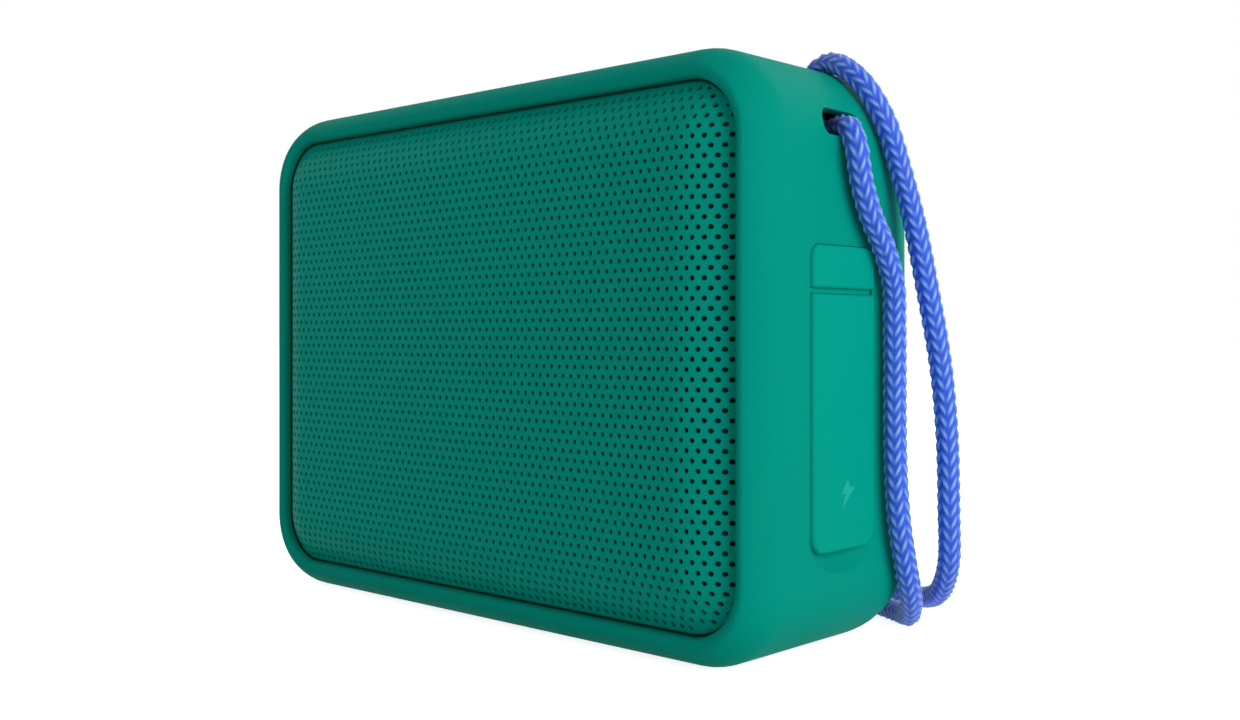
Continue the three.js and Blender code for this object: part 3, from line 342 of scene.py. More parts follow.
# %% Short words for adding and joining nodes
class Wiring:
    """Short names for adding and joining nodes of one tree."""

    def __init__(self, tree):
        self.tree = tree

    def node(self, kind, **settings):
        made = self.tree.nodes.new(kind)
        for key, value in settings.items():
            setattr(made, key, value)
        return made

    def join(self, value, socket):
        """A socket takes the output of another node, or a fixed value."""
        if hasattr(value, "is_output"):
            self.tree.links.new(value, socket)
        else:
            socket.default_value = value

    def place(self):
        """Where a point is on the object, in metres."""
        return self.node("ShaderNodeTexCoord").outputs["Object"]

    def noise(self, coordinates, scale, detail=2, roughness=0.5):
        made = self.node("ShaderNodeTexNoise")
        names = ("Vector", "Scale", "Detail", "Roughness")
        for name, value in zip(names, (coordinates, scale, detail, roughness)):
            self.join(value, made.inputs[name])
        return made.outputs["Fac"]

    def cells(self, coordinates, scale, **kind):
        """How far a point is from the middle of its cell."""
        made = self.node("ShaderNodeTexVoronoi", **kind)
        self.join(coordinates, made.inputs["Vector"])
        self.join(scale, made.inputs["Scale"])
        return made.outputs["Distance"]

    def axes(self, vector):
        """The X, Y and Z of a vector."""
        made = self.node("ShaderNodeSeparateXYZ")
        self.join(vector, made.inputs[0])
        return made.outputs

    def wave(self, value, length):
        """A sine wave that repeats after each length."""
        return self.math("SINE", self.math("MULTIPLY", value, 2 * math.pi / length))

    def math(self, operation, *values, clamp=False):
        made = self.node("ShaderNodeMath", operation=operation, use_clamp=clamp)
        for socket, value in zip(made.inputs, values):
            self.join(value, socket)
        return made.outputs[0]

    def spread(self, value, low, high, to_low=0.0, to_high=1.0):
        """A value between low and high, spread to another range."""
        made = self.node("ShaderNodeMapRange")
        names = ("Value", "From Min", "From Max", "To Min", "To Max")
        for name, number in zip(names, (value, low, high, to_low, to_high)):
            self.join(number, made.inputs[name])
        return made.outputs["Result"]

    def mix(self, factor, first, second):
        made = self.node("ShaderNodeMix", data_type="RGBA")
        for value, number in ((factor, 0), (first, 6), (second, 7)):
            self.join(value, made.inputs[number])
        return made.outputs[2]

    def raise_surface(self, shader, height, distance, strength=1.0):
        """The shader's surface seems raised by the height, by at most the distance."""
        made = self.node("ShaderNodeBump")
        for name, value in zip(("Strength", "Distance", "Height"), (strength, distance, height)):
            self.join(value, made.inputs[name])
        self.join(made.outputs["Normal"], shader.inputs["Normal"])

    def seen(self):
        """1 on rays from the camera, also through a reflection or glass, and 0 on rays that carry light."""
        path = self.node("ShaderNodeLightPath")
        direct = self.math("ADD", path.outputs["Is Camera Ray"], path.outputs["Is Glossy Ray"], clamp=True)
        return self.math("ADD", direct, path.outputs["Is Transmission Ray"], clamp=True)


# %% A blank finish and a blank group
def new_finish(name):
    """A new material, the wiring of its nodes and its Principled shader."""
    material = bpy.data.materials.new(name)
    material.use_nodes = True
    return material, Wiring(material.node_tree), material.node_tree.nodes["Principled BSDF"]


def node_group(name, inputs, outputs):
    """An empty group with named number inputs and named outputs."""
    group = bpy.data.node_groups.new(name, "ShaderNodeTree")
    for label, default in inputs:
        socket = group.interface.new_socket(label, in_out="INPUT", socket_type="NodeSocketFloat")
        socket.default_value = default
    for label in outputs:
        group.interface.new_socket(label, in_out="OUTPUT", socket_type="NodeSocketFloat")
    wiring = Wiring(group)
    return group, wiring, wiring.node("NodeGroupInput"), wiring.node("NodeGroupOutput")


# %% Group: mould grain
grain_group, wires, group_in, group_out = node_group("mould_grain", [("Size", 4000.0)], ["Height", "Tone"])
place = wires.place()
fine = wires.noise(place, group_in.outputs["Size"], 3)
pebbles = wires.math("MULTIPLY", wires.cells(place, group_in.outputs["Size"], feature="SMOOTH_F1"), 0.4)
wires.join(wires.math("ADD", wires.math("MULTIPLY", fine, 0.6), pebbles), group_out.inputs["Height"])
wires.join(wires.spread(fine, 0.3, 0.7), group_out.inputs["Tone"])
print("groups:", [group.name for group in bpy.data.node_groups])

# %% Group: handling clouds and settled dust
CLOUD_SCALE = 60.0
handled_group, wires, group_in, group_out = node_group("handling", [("Clouds", CLOUD_SCALE)], ["Clouds", "Dust"])
place = wires.place()
slow = wires.noise(place, group_in.outputs["Clouds"], 4)
wires.join(wires.spread(slow, 0.3, 0.7), group_out.inputs["Clouds"])
normal = wires.node("ShaderNodeNewGeometry").outputs["Normal"]
facing_up = wires.spread(wires.axes(normal)["Z"], 0.2, 1.0)
specks = wires.spread(wires.noise(place, 900, 5, 0.65), 0.52, 0.72)
wires.join(wires.math("MULTIPLY", facing_up, specks), group_out.inputs["Dust"])
print("groups:", [group.name for group in bpy.data.node_groups])


# %% One maker for moulded and painted finishes
CLOUD_TONE, CLOUD_SHARE, ROUGHNESS_SWING = 0.04, 0.5, 0.04
DUST_COLOUR = paint(205, 208, 205)


def finish(name, colour, roughness, metallic=0.0, grain=4000.0, depth=0.012 * MM, tone=0.05, dust=0.06,
           specular=0.5, coat=0.0, sheen=0.0):
    """A Principled material with mould grain in its bump, cloudy tone and roughness, and a trace of dust."""
    material, wires, shader = new_finish(name)
    grained = wires.node("ShaderNodeGroup", node_tree=grain_group)
    wires.join(grain, grained.inputs["Size"])
    handled = wires.node("ShaderNodeGroup", node_tree=handled_group)
    wires.join(CLOUD_SCALE, handled.inputs["Clouds"])
    clouds = handled.outputs["Clouds"]
    base = wires.mix(grained.outputs["Tone"], toned(colour, -tone), toned(colour, tone))
    base = wires.mix(wires.math("MULTIPLY", clouds, CLOUD_SHARE), base, toned(colour, CLOUD_TONE))
    base = wires.mix(wires.math("MULTIPLY", handled.outputs["Dust"], dust), base, DUST_COLOUR)
    wires.join(base, shader.inputs["Base Color"])
    uneven = wires.spread(clouds, 0, 1, roughness - ROUGHNESS_SWING, roughness + ROUGHNESS_SWING)
    wires.join(uneven, shader.inputs["Roughness"])
    wires.raise_surface(shader, grained.outputs["Height"], depth)
    fixed = {"Metallic": metallic, "Specular IOR Level": specular, "Coat Weight": coat, "Coat Roughness": 0.3,
             "Sheen Weight": sheen, "Sheen Roughness": 0.5}
    for socket, value in fixed.items():
        shader.inputs[socket].default_value = value
    return material


silicone = {"depth": 0.008 * MM, "tone": 0.03, "dust": 0.015, "specular": 0.02}
jacket_rubber = finish("jacket_rubber", paint(0, 152, 134), 0.6, **silicone)
flap_rubber = finish("flap_rubber", paint(0, 161, 142), 0.58, **silicone)
icon_rubber = finish("icon_rubber", paint(30, 178, 158), 0.5, depth=0.006 * MM, dust=0.0, specular=0.05)
grille_paint = finish("grille_paint", paint(0, 156, 138), 0.5, grain=9000.0, depth=0.003 * MM, tone=0.03,
                      dust=0.0, specular=0.03)
# This dark green is the jacket's green rubber with painted shade in it. The housing is seen through the slots and
# the grille's groove, where the real speaker shows its green rubber in shade.
housing_green_painted_shade = finish("housing_green_painted_shade", paint(0, 78, 64), 0.55, grain=3000.0, dust=0.02, specular=0.15)
dark_plastic = finish("dark_plastic", paint(29, 34, 37), 0.5, grain=3000.0)
print("finishes:", len(bpy.data.materials))

# %% [markdown]
# Yarn looks darkest down in its gaps and palest where a leg stands proud, where the light gets in from all
# sides. Both are painted into its colour: painted shade in the gaps and a painted highlight on the crowns.
# The height that the knitting left on the mesh gives both, and a noise stretched along the yarn gives the fibres.
# %% Finish: knitted yarn
# The first colour here is painted shade for the gaps between the legs; the second is the yarn's own blue.
YARN_PAINTED_SHADE, YARN_LEG = paint(38, 86, 226), paint(98, 156, 255)
# The first colour here is a painted highlight for the proud crowns; the second is the fibres' own tone.
YARN_PAINTED_HIGHLIGHT, YARN_FIBRE = paint(184, 214, 255), paint(52, 100, 228)
cord_knit, wires, shader = new_finish("cord_knit")
yarn = wires.node("ShaderNodeAttribute", attribute_name="yarn_height").outputs["Fac"]
fibres = wires.node("ShaderNodeMapping")
fibres.inputs["Scale"].default_value = (90, 9, 1)
wires.join(wires.node("ShaderNodeUVMap", uv_map="along_cord").outputs["UV"], fibres.inputs["Vector"])
fibre_noise = wires.noise(fibres.outputs["Vector"], 1.0, 3, 0.6)
# A painted highlight on the proudest yarn and painted shade down in the gaps, both set by the yarn's height.
painted_highlight_share = wires.math("MULTIPLY", wires.spread(yarn, 0.5, 0.95), 0.8)
fibre_share = wires.math("MULTIPLY", wires.spread(fibre_noise, 0.35, 0.7), 0.25)
yarn_colour = wires.mix(wires.spread(yarn, 0.16, 0.55), YARN_PAINTED_SHADE, YARN_LEG)
yarn_colour = wires.mix(painted_highlight_share, yarn_colour, YARN_PAINTED_HIGHLIGHT)
yarn_colour = wires.mix(fibre_share, yarn_colour, YARN_FIBRE)
wires.join(yarn_colour, shader.inputs["Base Color"])
wires.join(wires.spread(fibre_noise, 0.3, 0.7, 0.5, 0.66), shader.inputs["Roughness"])
wires.raise_surface(shader, fibre_noise, 0.05 * MM, 0.6)
shader.inputs["Sheen Weight"].default_value = 0.35
shader.inputs["Sheen Roughness"].default_value = 0.4
settle(knitted_cord, cord_knit, "cord_knit", "enclosure", "wrist_cord")

evenly(smooth_line(ROUTE), 1 * MM)[0].tolist()
print("cord declared:", round(cord_length, 3), "m")

# %% [markdown]
# ## The rubber jacket
# The speaker's skin is one thick silicone moulding, pulled over the inner box like a sleeve and open at
# the front for the grille. It is modelled as one closed wall: the outlines start at the inside of its
# back, come forward along the inside, turn round the front lip and go back along the outside. Each
# outline is the box's outline drawn in by the amount that its edge radius asks for at that depth.
# %% Sizes of the jacket
BODY_WIDTH, BODY_HEIGHT, BODY_DEPTH = 109.4 * MM, 82 * MM, 46.3 * MM
CORNER_RADIUS, LEAST_RADIUS = 12.2 * MM, 2.5 * MM
FRONT_EDGE, BACK_EDGE = 7.7 * MM, 13.9 * MM
WALL = 2 * MM
RIM_SIDE, RIM_TOP = 4 * MM, 4.5 * MM
LIP_RADIUS = 0.85 * MM
WIDENING = 2.5 * MM
FRONT, RIGHT, TOP, MIDDLE = -BODY_DEPTH / 2, BODY_WIDTH / 2, BODY_HEIGHT, BODY_HEIGHT / 2
FRONT_CENTRE, BACK_CENTRE = FRONT + FRONT_EDGE, BODY_DEPTH / 2 - BACK_EDGE
CORNER_STEPS = 14
print("wall and rim of the jacket in mm:", [round(size / MM, 2) for size in (WALL, RIM_SIDE, RIM_TOP)])


def body_outline(inset, depth):
    """The box's outline at a depth, drawn in by an inset. Near the opening the top and bottom run wider."""
    share = min(max((inset - WIDENING) / (RIM_SIDE - WIDENING), 0), 1) if depth < FRONT_CENTRE else 0
    size = (BODY_WIDTH - 2 * inset, BODY_HEIGHT - 2 * inset - 2 * share * (RIM_TOP - RIM_SIDE))
    corner = max(CORNER_RADIUS - inset, LEAST_RADIUS)
    return [(x, depth, z) for x, z in rounded((0, MIDDLE), size, [corner] * 4, CORNER_STEPS)]


def edge_arc(skin, steps, front, first=0.0, last=1.0):
    """Inset and depth along a front or back edge, from the side towards the face."""
    whole, centre, way = (FRONT_EDGE, FRONT_CENTRE, -1) if front else (BACK_EDGE, BACK_CENTRE, 1)
    radius = whole - skin
    return [(whole - radius * math.cos(turn), centre + way * radius * math.sin(turn))
            for turn in np.linspace(first, last, steps) * QUARTER]


def lip_arc(steps=8):
    """Inset and depth round the front lip, from the wall of the opening to where it meets the front edge."""
    inset = RIM_SIDE - LIP_RADIUS
    reach = FRONT_EDGE - LIP_RADIUS
    depth = math.sqrt(reach ** 2 - (FRONT_EDGE - inset) ** 2)
    last = math.pi - math.acos((FRONT_EDGE - inset) / reach)
    return [(inset + LIP_RADIUS * math.cos(turn), FRONT_CENTRE - depth - LIP_RADIUS * math.sin(turn))
            for turn in np.linspace(0, last, steps + 1)]


# %% Draw the jacket out
LIP_CLEARANCE = 0.15 * MM
lip_share_out = math.acos(1 - RIM_SIDE / FRONT_EDGE) / QUARTER
lip_share_in = math.acos((FRONT_EDGE - RIM_SIDE) / (FRONT_EDGE - WALL)) / QUARTER
outer_front = edge_arc(0, 12, True, 0, lip_share_out)
inner_front = edge_arc(WALL, 6, True, 0, lip_share_in)
lip = lip_arc()
beyond_lip = [(inset, depth) for inset, depth in outer_front if inset < lip[-1][0] - LIP_CLEARANCE]
profile = (edge_arc(WALL, 12, False)[::-1] + inner_front + lip + beyond_lip[::-1] + edge_arc(0, 18, False))
jacket = drawn_out("jacket_shell", [body_outline(inset, depth) for inset, depth in profile])
print("jacket outlines:", len(profile))

# %% [markdown]
# ## Holes in the jacket
# Every hole in a rubber moulding has a soft mouth, because the mould has no sharp edge there. So each
# cutter is a plug that flares where it leaves the surface, by a quarter circle, and the flare follows the
# surface, also where a slot reaches round the corner.
# %% Holes with a soft mouth
CUTTER_RISE, HAIR = 3 * MM, 0.01 * MM
SLOT_STEPS, HOLE_CORNERS = 6, 40


def round_corner(face, over):
    """How far out the skin is, at a distance past the start of a round corner beside a face."""
    return face - CORNER_RADIUS + math.sqrt(CORNER_RADIUS ** 2 - max(over, 0) ** 2)


def side_surface(y, z):
    return round_corner(RIGHT, max(z - (TOP - CORNER_RADIUS), CORNER_RADIUS - z))


def top_surface(x, y):
    return round_corner(TOP, abs(x) - (RIGHT - CORNER_RADIUS))


def pierce(piece, name, outline, on_top, floor, lip_radius, flare_steps=4):
    """Cuts a hole in the top or in the right-hand side. outline gives the hole's corners when it is wider all
    round by some amount, and floor is where the hole ends inside."""
    surface = top_surface if on_top else side_surface
    levels = [(lip_radius, CUTTER_RISE), (lip_radius, HAIR)]
    for step in range(1, flare_steps + 1):
        angle = step / flare_steps * QUARTER
        levels.append((lip_radius * (1 - math.sin(angle)), -lip_radius * (1 - math.cos(angle))))
    outlines = [[(u, v, surface(u, v) + lift) for u, v in outline(wider)] for wider, lift in levels]
    outlines.append([(u, v, floor) for u, v in outline(0)])
    if not on_top:
        outlines = [[(w, u, v) for u, v, w in corners] for corners in outlines]
    combine(piece, drawn_out(name, outlines), "DIFFERENCE")


def slot_outline(centre, size, radii):
    return lambda wider: rounded(centre, *shrunk(size, radii, -wider), SLOT_STEPS)


def round_outline(centre, radius):
    return lambda wider: circle(centre, radius + wider, HOLE_CORNERS)


# %% Slots for the cord
SLOT_CORNERS, SLOT_LIP = [1.5 * MM] * 4, 0.3 * MM
SIDE_SLOT_END, TOP_HOLE_END = 45 * MM, 75 * MM
side_slot = slot_outline((-2.4 * MM, 72.4 * MM), (8.9 * MM, 3.5 * MM), SLOT_CORNERS)
top_slot = slot_outline((42 * MM, 6.8 * MM), (9 * MM, 5.6 * MM), SLOT_CORNERS)
pierce(jacket, "side_slot", side_slot, False, SIDE_SLOT_END, SLOT_LIP)
pierce(jacket, "top_slot", top_slot, True, TOP_HOLE_END, SLOT_LIP)
print("jacket faces after the slots:", len(jacket.data.polygons))

# %% Holes for the buttons, the light and the microphone
BUTTON_PLACES = [x * MM for x in (-28, -14, 0, 14, 28)]
BUTTON_Y = -3 * MM
LIGHT_X, MICROPHONE_Y = -39 * MM, 2 * MM
ROUND_HOLES = [(x, BUTTON_Y, 4.8 * MM, 0.35 * MM) for x in BUTTON_PLACES]
ROUND_HOLES += [(LIGHT_X, BUTTON_Y, 1.2 * MM, 0.2 * MM), (LIGHT_X, MICROPHONE_Y, 0.5 * MM, 0.3 * MM)]
for x, y, radius, lip_radius in ROUND_HOLES:
    pierce(jacket, "round_hole", round_outline((x, y), radius), True, TOP_HOLE_END, lip_radius)
print("jacket faces after the round holes:", len(jacket.data.polygons))

# %% The flap's bed and the window to the sockets
FLAP_Y = -2.9 * MM
FLAP_WIDTH = 14.7 * MM
FLAP_LOW_CORNER, FLAP_HIGH_CORNER = 2.6 * MM, 1.8 * MM
FLAP_RADII = [FLAP_LOW_CORNER, FLAP_HIGH_CORNER, FLAP_HIGH_CORNER, FLAP_LOW_CORNER]
FLAP_BOTTOM, HINGE_LINE, TAB_TOP = 15.2 * MM, 49.8 * MM, 55.9 * MM
SEAT = 0.05 * MM
BED_FLOOR, BED_LIP = RIGHT - 1.4 * MM, 0.08 * MM
SOCKET_CENTRE = (FLAP_Y, 31.8 * MM)
WINDOW_SIZE, WINDOW_CORNERS, WINDOW_END = (9.5 * MM, 26 * MM), [1.7 * MM] * 4, 48 * MM
bed_centre = (FLAP_Y, (TAB_TOP + FLAP_BOTTOM) / 2)
bed_outline = slot_outline(bed_centre, *shrunk((FLAP_WIDTH, TAB_TOP - FLAP_BOTTOM), FLAP_RADII, -SEAT))
pierce(jacket, "flap_bed", bed_outline, False, BED_FLOOR, BED_LIP)
pierce(jacket, "socket_window", slot_outline(SOCKET_CENTRE, WINDOW_SIZE, WINDOW_CORNERS), False, WINDOW_END, HAIR)
print("jacket faces after the flap's bed:", len(jacket.data.polygons))

# %% [markdown]
# Below the flap a fingertip needs room to lift it. The real jacket has a shallow scoop there, deepest under
# the flap's edge and running out to nothing below, like the mark of a thumb. A ball that is stretched to
# an ellipsoid and sunk only a little into the side leaves exactly such a mark.
# %% The finger scoop
SCOOP_HALVES = (5.7 * MM, 10.6 * MM, 6.7 * MM)
SCOOP_CENTRE = (RIGHT + 4 * MM, FLAP_Y - 0.1 * MM, 16.95 * MM)
bpy.ops.object.select_all(action="DESELECT")
bpy.ops.mesh.primitive_uv_sphere_add(segments=96, ring_count=48, radius=1)
scoop = bpy.context.object
scoop.name = "finger_scoop"
bpy.ops.transform.resize(value=SCOOP_HALVES)
bpy.ops.transform.translate(value=SCOOP_CENTRE)
bpy.ops.object.transform_apply(location=True, rotation=True, scale=True)
combine(jacket, scoop, "DIFFERENCE")
print("jacket faces after the scoop:", len(jacket.data.polygons))
shade(jacket, 32)
modify(jacket, "WEIGHTED_NORMAL", keep_sharp=True)
settle(jacket, jacket_rubber, "jacket_rubber", "enclosure", "rubber_jacket")

# %% [markdown]
# ## The perforated grille
# The grille is a thin steel sheet, punched all over and then pressed into a shallow pillow with a skirt
# turned back into the groove behind the rubber rim. The holes sit in a honeycomb order, so the whole
# sheet can be built from one hexagon with a round hole: six corners outside, eight inside, bridged. Rows of
# copies are welded, the sheet is trimmed to its outline by straight bisects, and only then pressed, as
# the real one is, so that the holes run right over its edge.
# %% One hexagonal cell
HOLE_PITCH, ROW_PITCH = 1.531 * MM, 1.302 * MM
HOLE_RADIUS, HOLE_SIDES = 0.37 * MM, 8
FIRST_HOLE = (0.5 * MM, 40.87 * MM)
WELD = 0.01 * MM
bpy.ops.object.select_all(action="DESELECT")
bpy.ops.mesh.primitive_circle_add(vertices=6, radius=HOLE_PITCH / math.sqrt(3))
sheet = bpy.context.object
sheet.name = sheet.data.name = "pressed_grille"
bpy.ops.transform.resize(value=(1, ROW_PITCH / (HOLE_PITCH * math.sqrt(3) / 2), 1))
bpy.ops.object.transform_apply(location=True, rotation=True, scale=True)
bpy.ops.object.mode_set(mode="EDIT")
bpy.ops.mesh.primitive_circle_add(vertices=HOLE_SIDES, radius=HOLE_RADIUS)
bpy.ops.mesh.select_all(action="SELECT")
bpy.ops.mesh.bridge_edge_loops()
bpy.ops.object.mode_set(mode="OBJECT")
print("cell:", len(sheet.data.vertices), "corners,", len(sheet.data.polygons), "faces")

# %% Rows of cells
GRILLE_GAP = 0.35 * MM
GRILLE_WIDTH = BODY_WIDTH - 2 * (RIM_SIDE + GRILLE_GAP)
GRILLE_HEIGHT = BODY_HEIGHT - 2 * (RIM_TOP + GRILLE_GAP)
GRILLE_CORNER = CORNER_RADIUS - RIM_SIDE - GRILLE_GAP


def repeated(piece, count, step):
    """The piece copied count times, each a step from the last, and welded where copies meet."""
    modify(piece, "ARRAY", count=count, use_relative_offset=False, use_constant_offset=True,
           constant_offset_displace=step, use_merge_vertices=True, merge_threshold=WELD)


columns = math.ceil(GRILLE_WIDTH / HOLE_PITCH) + 2
row_pairs = math.ceil(GRILLE_HEIGHT / (2 * ROW_PITCH)) + 1
repeated(sheet, columns, (HOLE_PITCH, 0, 0))
repeated(sheet, 2, (HOLE_PITCH / 2, ROW_PITCH, 0))
repeated(sheet, row_pairs, (0, 2 * ROW_PITCH, 0))
print("sheet:", columns * row_pairs * 2, "cells")

# %% Stand the sheet up
FOLD = 0.35 * MM
select_only(sheet)
bpy.ops.object.mode_set(mode="EDIT")
bpy.ops.mesh.select_all(action="SELECT")
bpy.ops.mesh.remove_doubles(threshold=WELD)
bpy.ops.object.mode_set(mode="OBJECT")
shift_x = FIRST_HOLE[0] - HOLE_PITCH * (columns // 2)
shift_z = FIRST_HOLE[1] - ROW_PITCH * (2 * (row_pairs // 2))
flat = np.zeros(len(sheet.data.vertices) * 3)
sheet.data.vertices.foreach_get("co", flat)
flat = flat.reshape(-1, 3)
standing = np.column_stack([flat[:, 0] + shift_x, np.full(len(flat), FRONT), flat[:, 1] + shift_z])
sheet.data.vertices.foreach_set("co", standing.ravel())


def edge_distance(x, z):
    """How far a point lies inside the grille's outline, and the direction straight out."""
    past_x = abs(x) - (GRILLE_WIDTH / 2 - GRILLE_CORNER)
    past_z = abs(z - MIDDLE) - (GRILLE_HEIGHT / 2 - GRILLE_CORNER)
    if past_x > 0 and past_z > 0:
        reach = math.hypot(past_x, past_z)
        return GRILLE_CORNER - reach, (math.copysign(past_x / reach, x), math.copysign(past_z / reach, z - MIDDLE))
    if past_x > past_z:
        return GRILLE_CORNER - past_x, (math.copysign(1, x), 0)
    return GRILLE_CORNER - past_z, (0, math.copysign(1, z - MIDDLE))


# %% [markdown]
# The holes run right over the edge, so some are cut by the fold. A hole whose middle lies further than
# HALF_HOLE from the fold is only grazed and would leave a sliver, so its rim is filled before the sheet is
# trimmed. The others become half holes, and one straight edge across each keeps the fold line whole, so
# that the skirt can be drawn from it without gaps.
# %% Fill the grazed holes and trim
HALF_HOLE, LEAST_BRIDGE = 0.3 * MM, 0.08 * MM
grazed = set()
for i in range(columns):
    for j in range(2 * row_pairs):
        x, z = shift_x + (i + (j % 2) / 2) * HOLE_PITCH, shift_z + j * ROW_PITCH
        if HALF_HOLE < abs(edge_distance(x, z)[0] - FOLD) < HOLE_RADIUS + LEAST_BRIDGE:
            grazed.add((i, j))
bpy.ops.object.mode_set(mode="EDIT")
bpy.ops.mesh.select_mode(type="EDGE")
bpy.ops.mesh.select_all(action="DESELECT")
edit = bmesh.from_edit_mesh(sheet.data)
for edge in edit.edges:
    middle = (edge.verts[0].co + edge.verts[1].co) / 2
    j = round((middle.z - shift_z) / ROW_PITCH)
    i = round((middle.x - shift_x) / HOLE_PITCH - (j % 2) / 2)
    edge.select = edge.is_boundary and (i, j) in grazed
bmesh.update_edit_mesh(sheet.data)
bpy.ops.mesh.fill_holes(sides=HOLE_SIDES)
trim = rounded((0, MIDDLE), *shrunk((GRILLE_WIDTH, GRILLE_HEIGHT), [GRILLE_CORNER] * 4, FOLD), 7)
for (x0, z0), (x1, z1) in zip(trim, trim[1:] + trim[:1]):
    straight_out = (z1 - z0, 0, x0 - x1)
    bpy.ops.mesh.select_all(action="SELECT")
    bpy.ops.mesh.bisect(plane_co=(x0, FRONT, z0), plane_no=straight_out, clear_outer=True, threshold=1e-7)
bpy.ops.object.mode_set(mode="OBJECT")
print("grazed holes:", len(grazed), "trimmed sheet:", len(sheet.data.polygons), "faces")

# %% Press the crown and turn the skirt back
CROWN_DROP, CROWN_BAND = 3.9 * MM, 8.6 * MM
EDGE_BAND, EDGE_SLOPE = 0.86 * MM, 0.35
SKIRT_BEND = [(0.2 * MM, 0.08 * MM), (0.12 * MM, 0.1 * MM), (0.03 * MM, 0.1 * MM)]
SKIRT_END = -19.45 * MM
SHEET_METAL = 0.5 * MM
NEAR_FOLD, ON_FOLD = 0.1 * MM, 0.002 * MM


def crown_depth(distance):
    """The crown falls away as a parabola, and its last edge more gently."""
    inside = max(distance, EDGE_BAND)
    return FRONT + CROWN_DROP * max(1 - inside / CROWN_BAND, 0) ** 2 + EDGE_SLOPE * (inside - distance)


def place_on_trim(vert):
    """How far along the trim a point lies, in corners of the trim."""
    point = np.array([vert.co.x, vert.co.z])
    shares = np.clip(((point - trim_start) * trim_run).sum(axis=1) / (trim_run ** 2).sum(axis=1), 0, 1)
    away = np.linalg.norm(trim_start + trim_run * shares[:, None] - point, axis=1)
    nearest = int(away.argmin())
    return nearest + float(shares[nearest]), float(away[nearest])


trim_start = np.array(trim)
trim_run = np.roll(trim_start, -1, axis=0) - trim_start
bpy.ops.object.mode_set(mode="EDIT")
bpy.ops.mesh.select_mode(type="EDGE")
bpy.ops.mesh.select_all(action="DESELECT")
edit = bmesh.from_edit_mesh(sheet.data)
distance_of = {v: edge_distance(v.co.x, v.co.z)[0] for v in edit.verts}
fold_line = [(*place_on_trim(v), v) for v in edit.verts if v.is_boundary and distance_of[v] < FOLD + NEAR_FOLD]
fold_line = [vert for place, away, vert in sorted(fold_line, key=lambda found: found[0]) if away < ON_FOLD]
bridged = 0
for one, two in zip(fold_line, fold_line[1:] + fold_line[:1]):
    edge = edit.edges.get((one, two))
    if edge is None:
        edge = edit.edges.new((one, two))
        bridged += 1
    edge.select = True
for vert, distance in distance_of.items():
    vert.co.y = crown_depth(distance)
bmesh.update_edit_mesh(sheet.data)
print("corners on the fold line:", len(fold_line), "half holes bridged:", bridged)
for outward, depth in [*SKIRT_BEND, (0, None)]:
    bpy.ops.mesh.extrude_edges_indiv()
    edit = bmesh.from_edit_mesh(sheet.data)
    for vert in (v for v in edit.verts if v.select):
        direction = edge_distance(vert.co.x, vert.co.z)[1]
        vert.co.x += direction[0] * outward
        vert.co.z += direction[1] * outward
        vert.co.y = SKIRT_END if depth is None else vert.co.y + depth
    bmesh.update_edit_mesh(sheet.data)
bpy.ops.mesh.select_all(action="SELECT")
bpy.ops.mesh.normals_make_consistent(inside=False)
bpy.ops.object.mode_set(mode="OBJECT")
if sum(face.normal.y * face.area for face in sheet.data.polygons) > 0:
    sheet.data.flip_normals()
modify(sheet, "SOLIDIFY", thickness=SHEET_METAL, offset=-1)
shade(sheet, 30)
settle(sheet, grille_paint, "grille_paint", "enclosure", "grille")
print("grille triangles:", sum(len(p.vertices) - 2 for p in sheet.data.polygons))

# %% [markdown]
# Behind the holes a dark green acoustic cloth is stretched, which keeps dust out of the driver. It follows the
# grille's crown from behind, so it is drawn out from the same crown function, and its weave is in its finish.
# %% The cloth behind the grille
CLOTH_GAP, CLOTH, CLOTH_EDGE = 0.9 * MM, 0.3 * MM, 1.7 * MM


def crown_outline(distance, set_back):
    """The outline at a distance inside the grille's edge, set back behind the crown."""
    size, radii = shrunk((GRILLE_WIDTH, GRILLE_HEIGHT), [GRILLE_CORNER] * 4, distance, LEAST_RADIUS)
    depth = crown_depth(distance) + set_back
    return [(x, depth, z) for x, z in rounded((0, MIDDLE), size, radii, 6)]


cloth_steps = np.linspace(CLOTH_EDGE, CROWN_BAND, 8)
cloth = drawn_out("acoustic_cloth", [crown_outline(d, CLOTH_GAP + CLOTH) for d in cloth_steps[::-1]]
                  + [crown_outline(d, CLOTH_GAP) for d in cloth_steps])
shade(cloth)


# %% Finish: woven cloth
def woven(name, dark, light, thread):
    """Two crossed sets of threads, by the waves of two directions."""
    material, wires, shader = new_finish(name)
    place = wires.place()
    along = wires.axes(place)
    crossed = wires.math("MULTIPLY", wires.wave(along["X"], thread), wires.wave(along["Z"], thread))
    over = wires.spread(crossed, -1, 1)
    fuzz = wires.noise(place, 12000, 2)
    height = wires.math("ADD", wires.math("MULTIPLY", over, 0.8), wires.math("MULTIPLY", fuzz, 0.2))
    wires.join(wires.mix(height, dark, light), shader.inputs["Base Color"])
    wires.join(wires.spread(fuzz, 0.3, 0.7, 0.85, 0.95), shader.inputs["Roughness"])
    wires.raise_surface(shader, height, 0.06 * MM)
    return material


acoustic_weave = woven("acoustic_weave", paint(5, 58, 52), paint(16, 82, 74), 0.35 * MM)
settle(cloth, acoustic_weave, "grille_cloth", "enclosure", "grille_cloth")

# %% [markdown]
# ## The flap over the sockets
# The flap is one soft pad in two lengths: a short tab that is fixed to the jacket, and a long leaf that
# swings out on the thin web between them. Both have a straight edge at the web and rounded ends, and a
# soft shoulder all round their face. Behind the leaf stands a hollow plug that seals the socket window.
# %% Pads with a soft shoulder
PAD_BACK, PAD_FACE = RIGHT - 1.1 * MM, RIGHT + 0.5 * MM
SHOULDER = 0.5 * MM
WEB_HALF, WEB_SIDE_CORNER = 0.35 * MM, 0.5 * MM


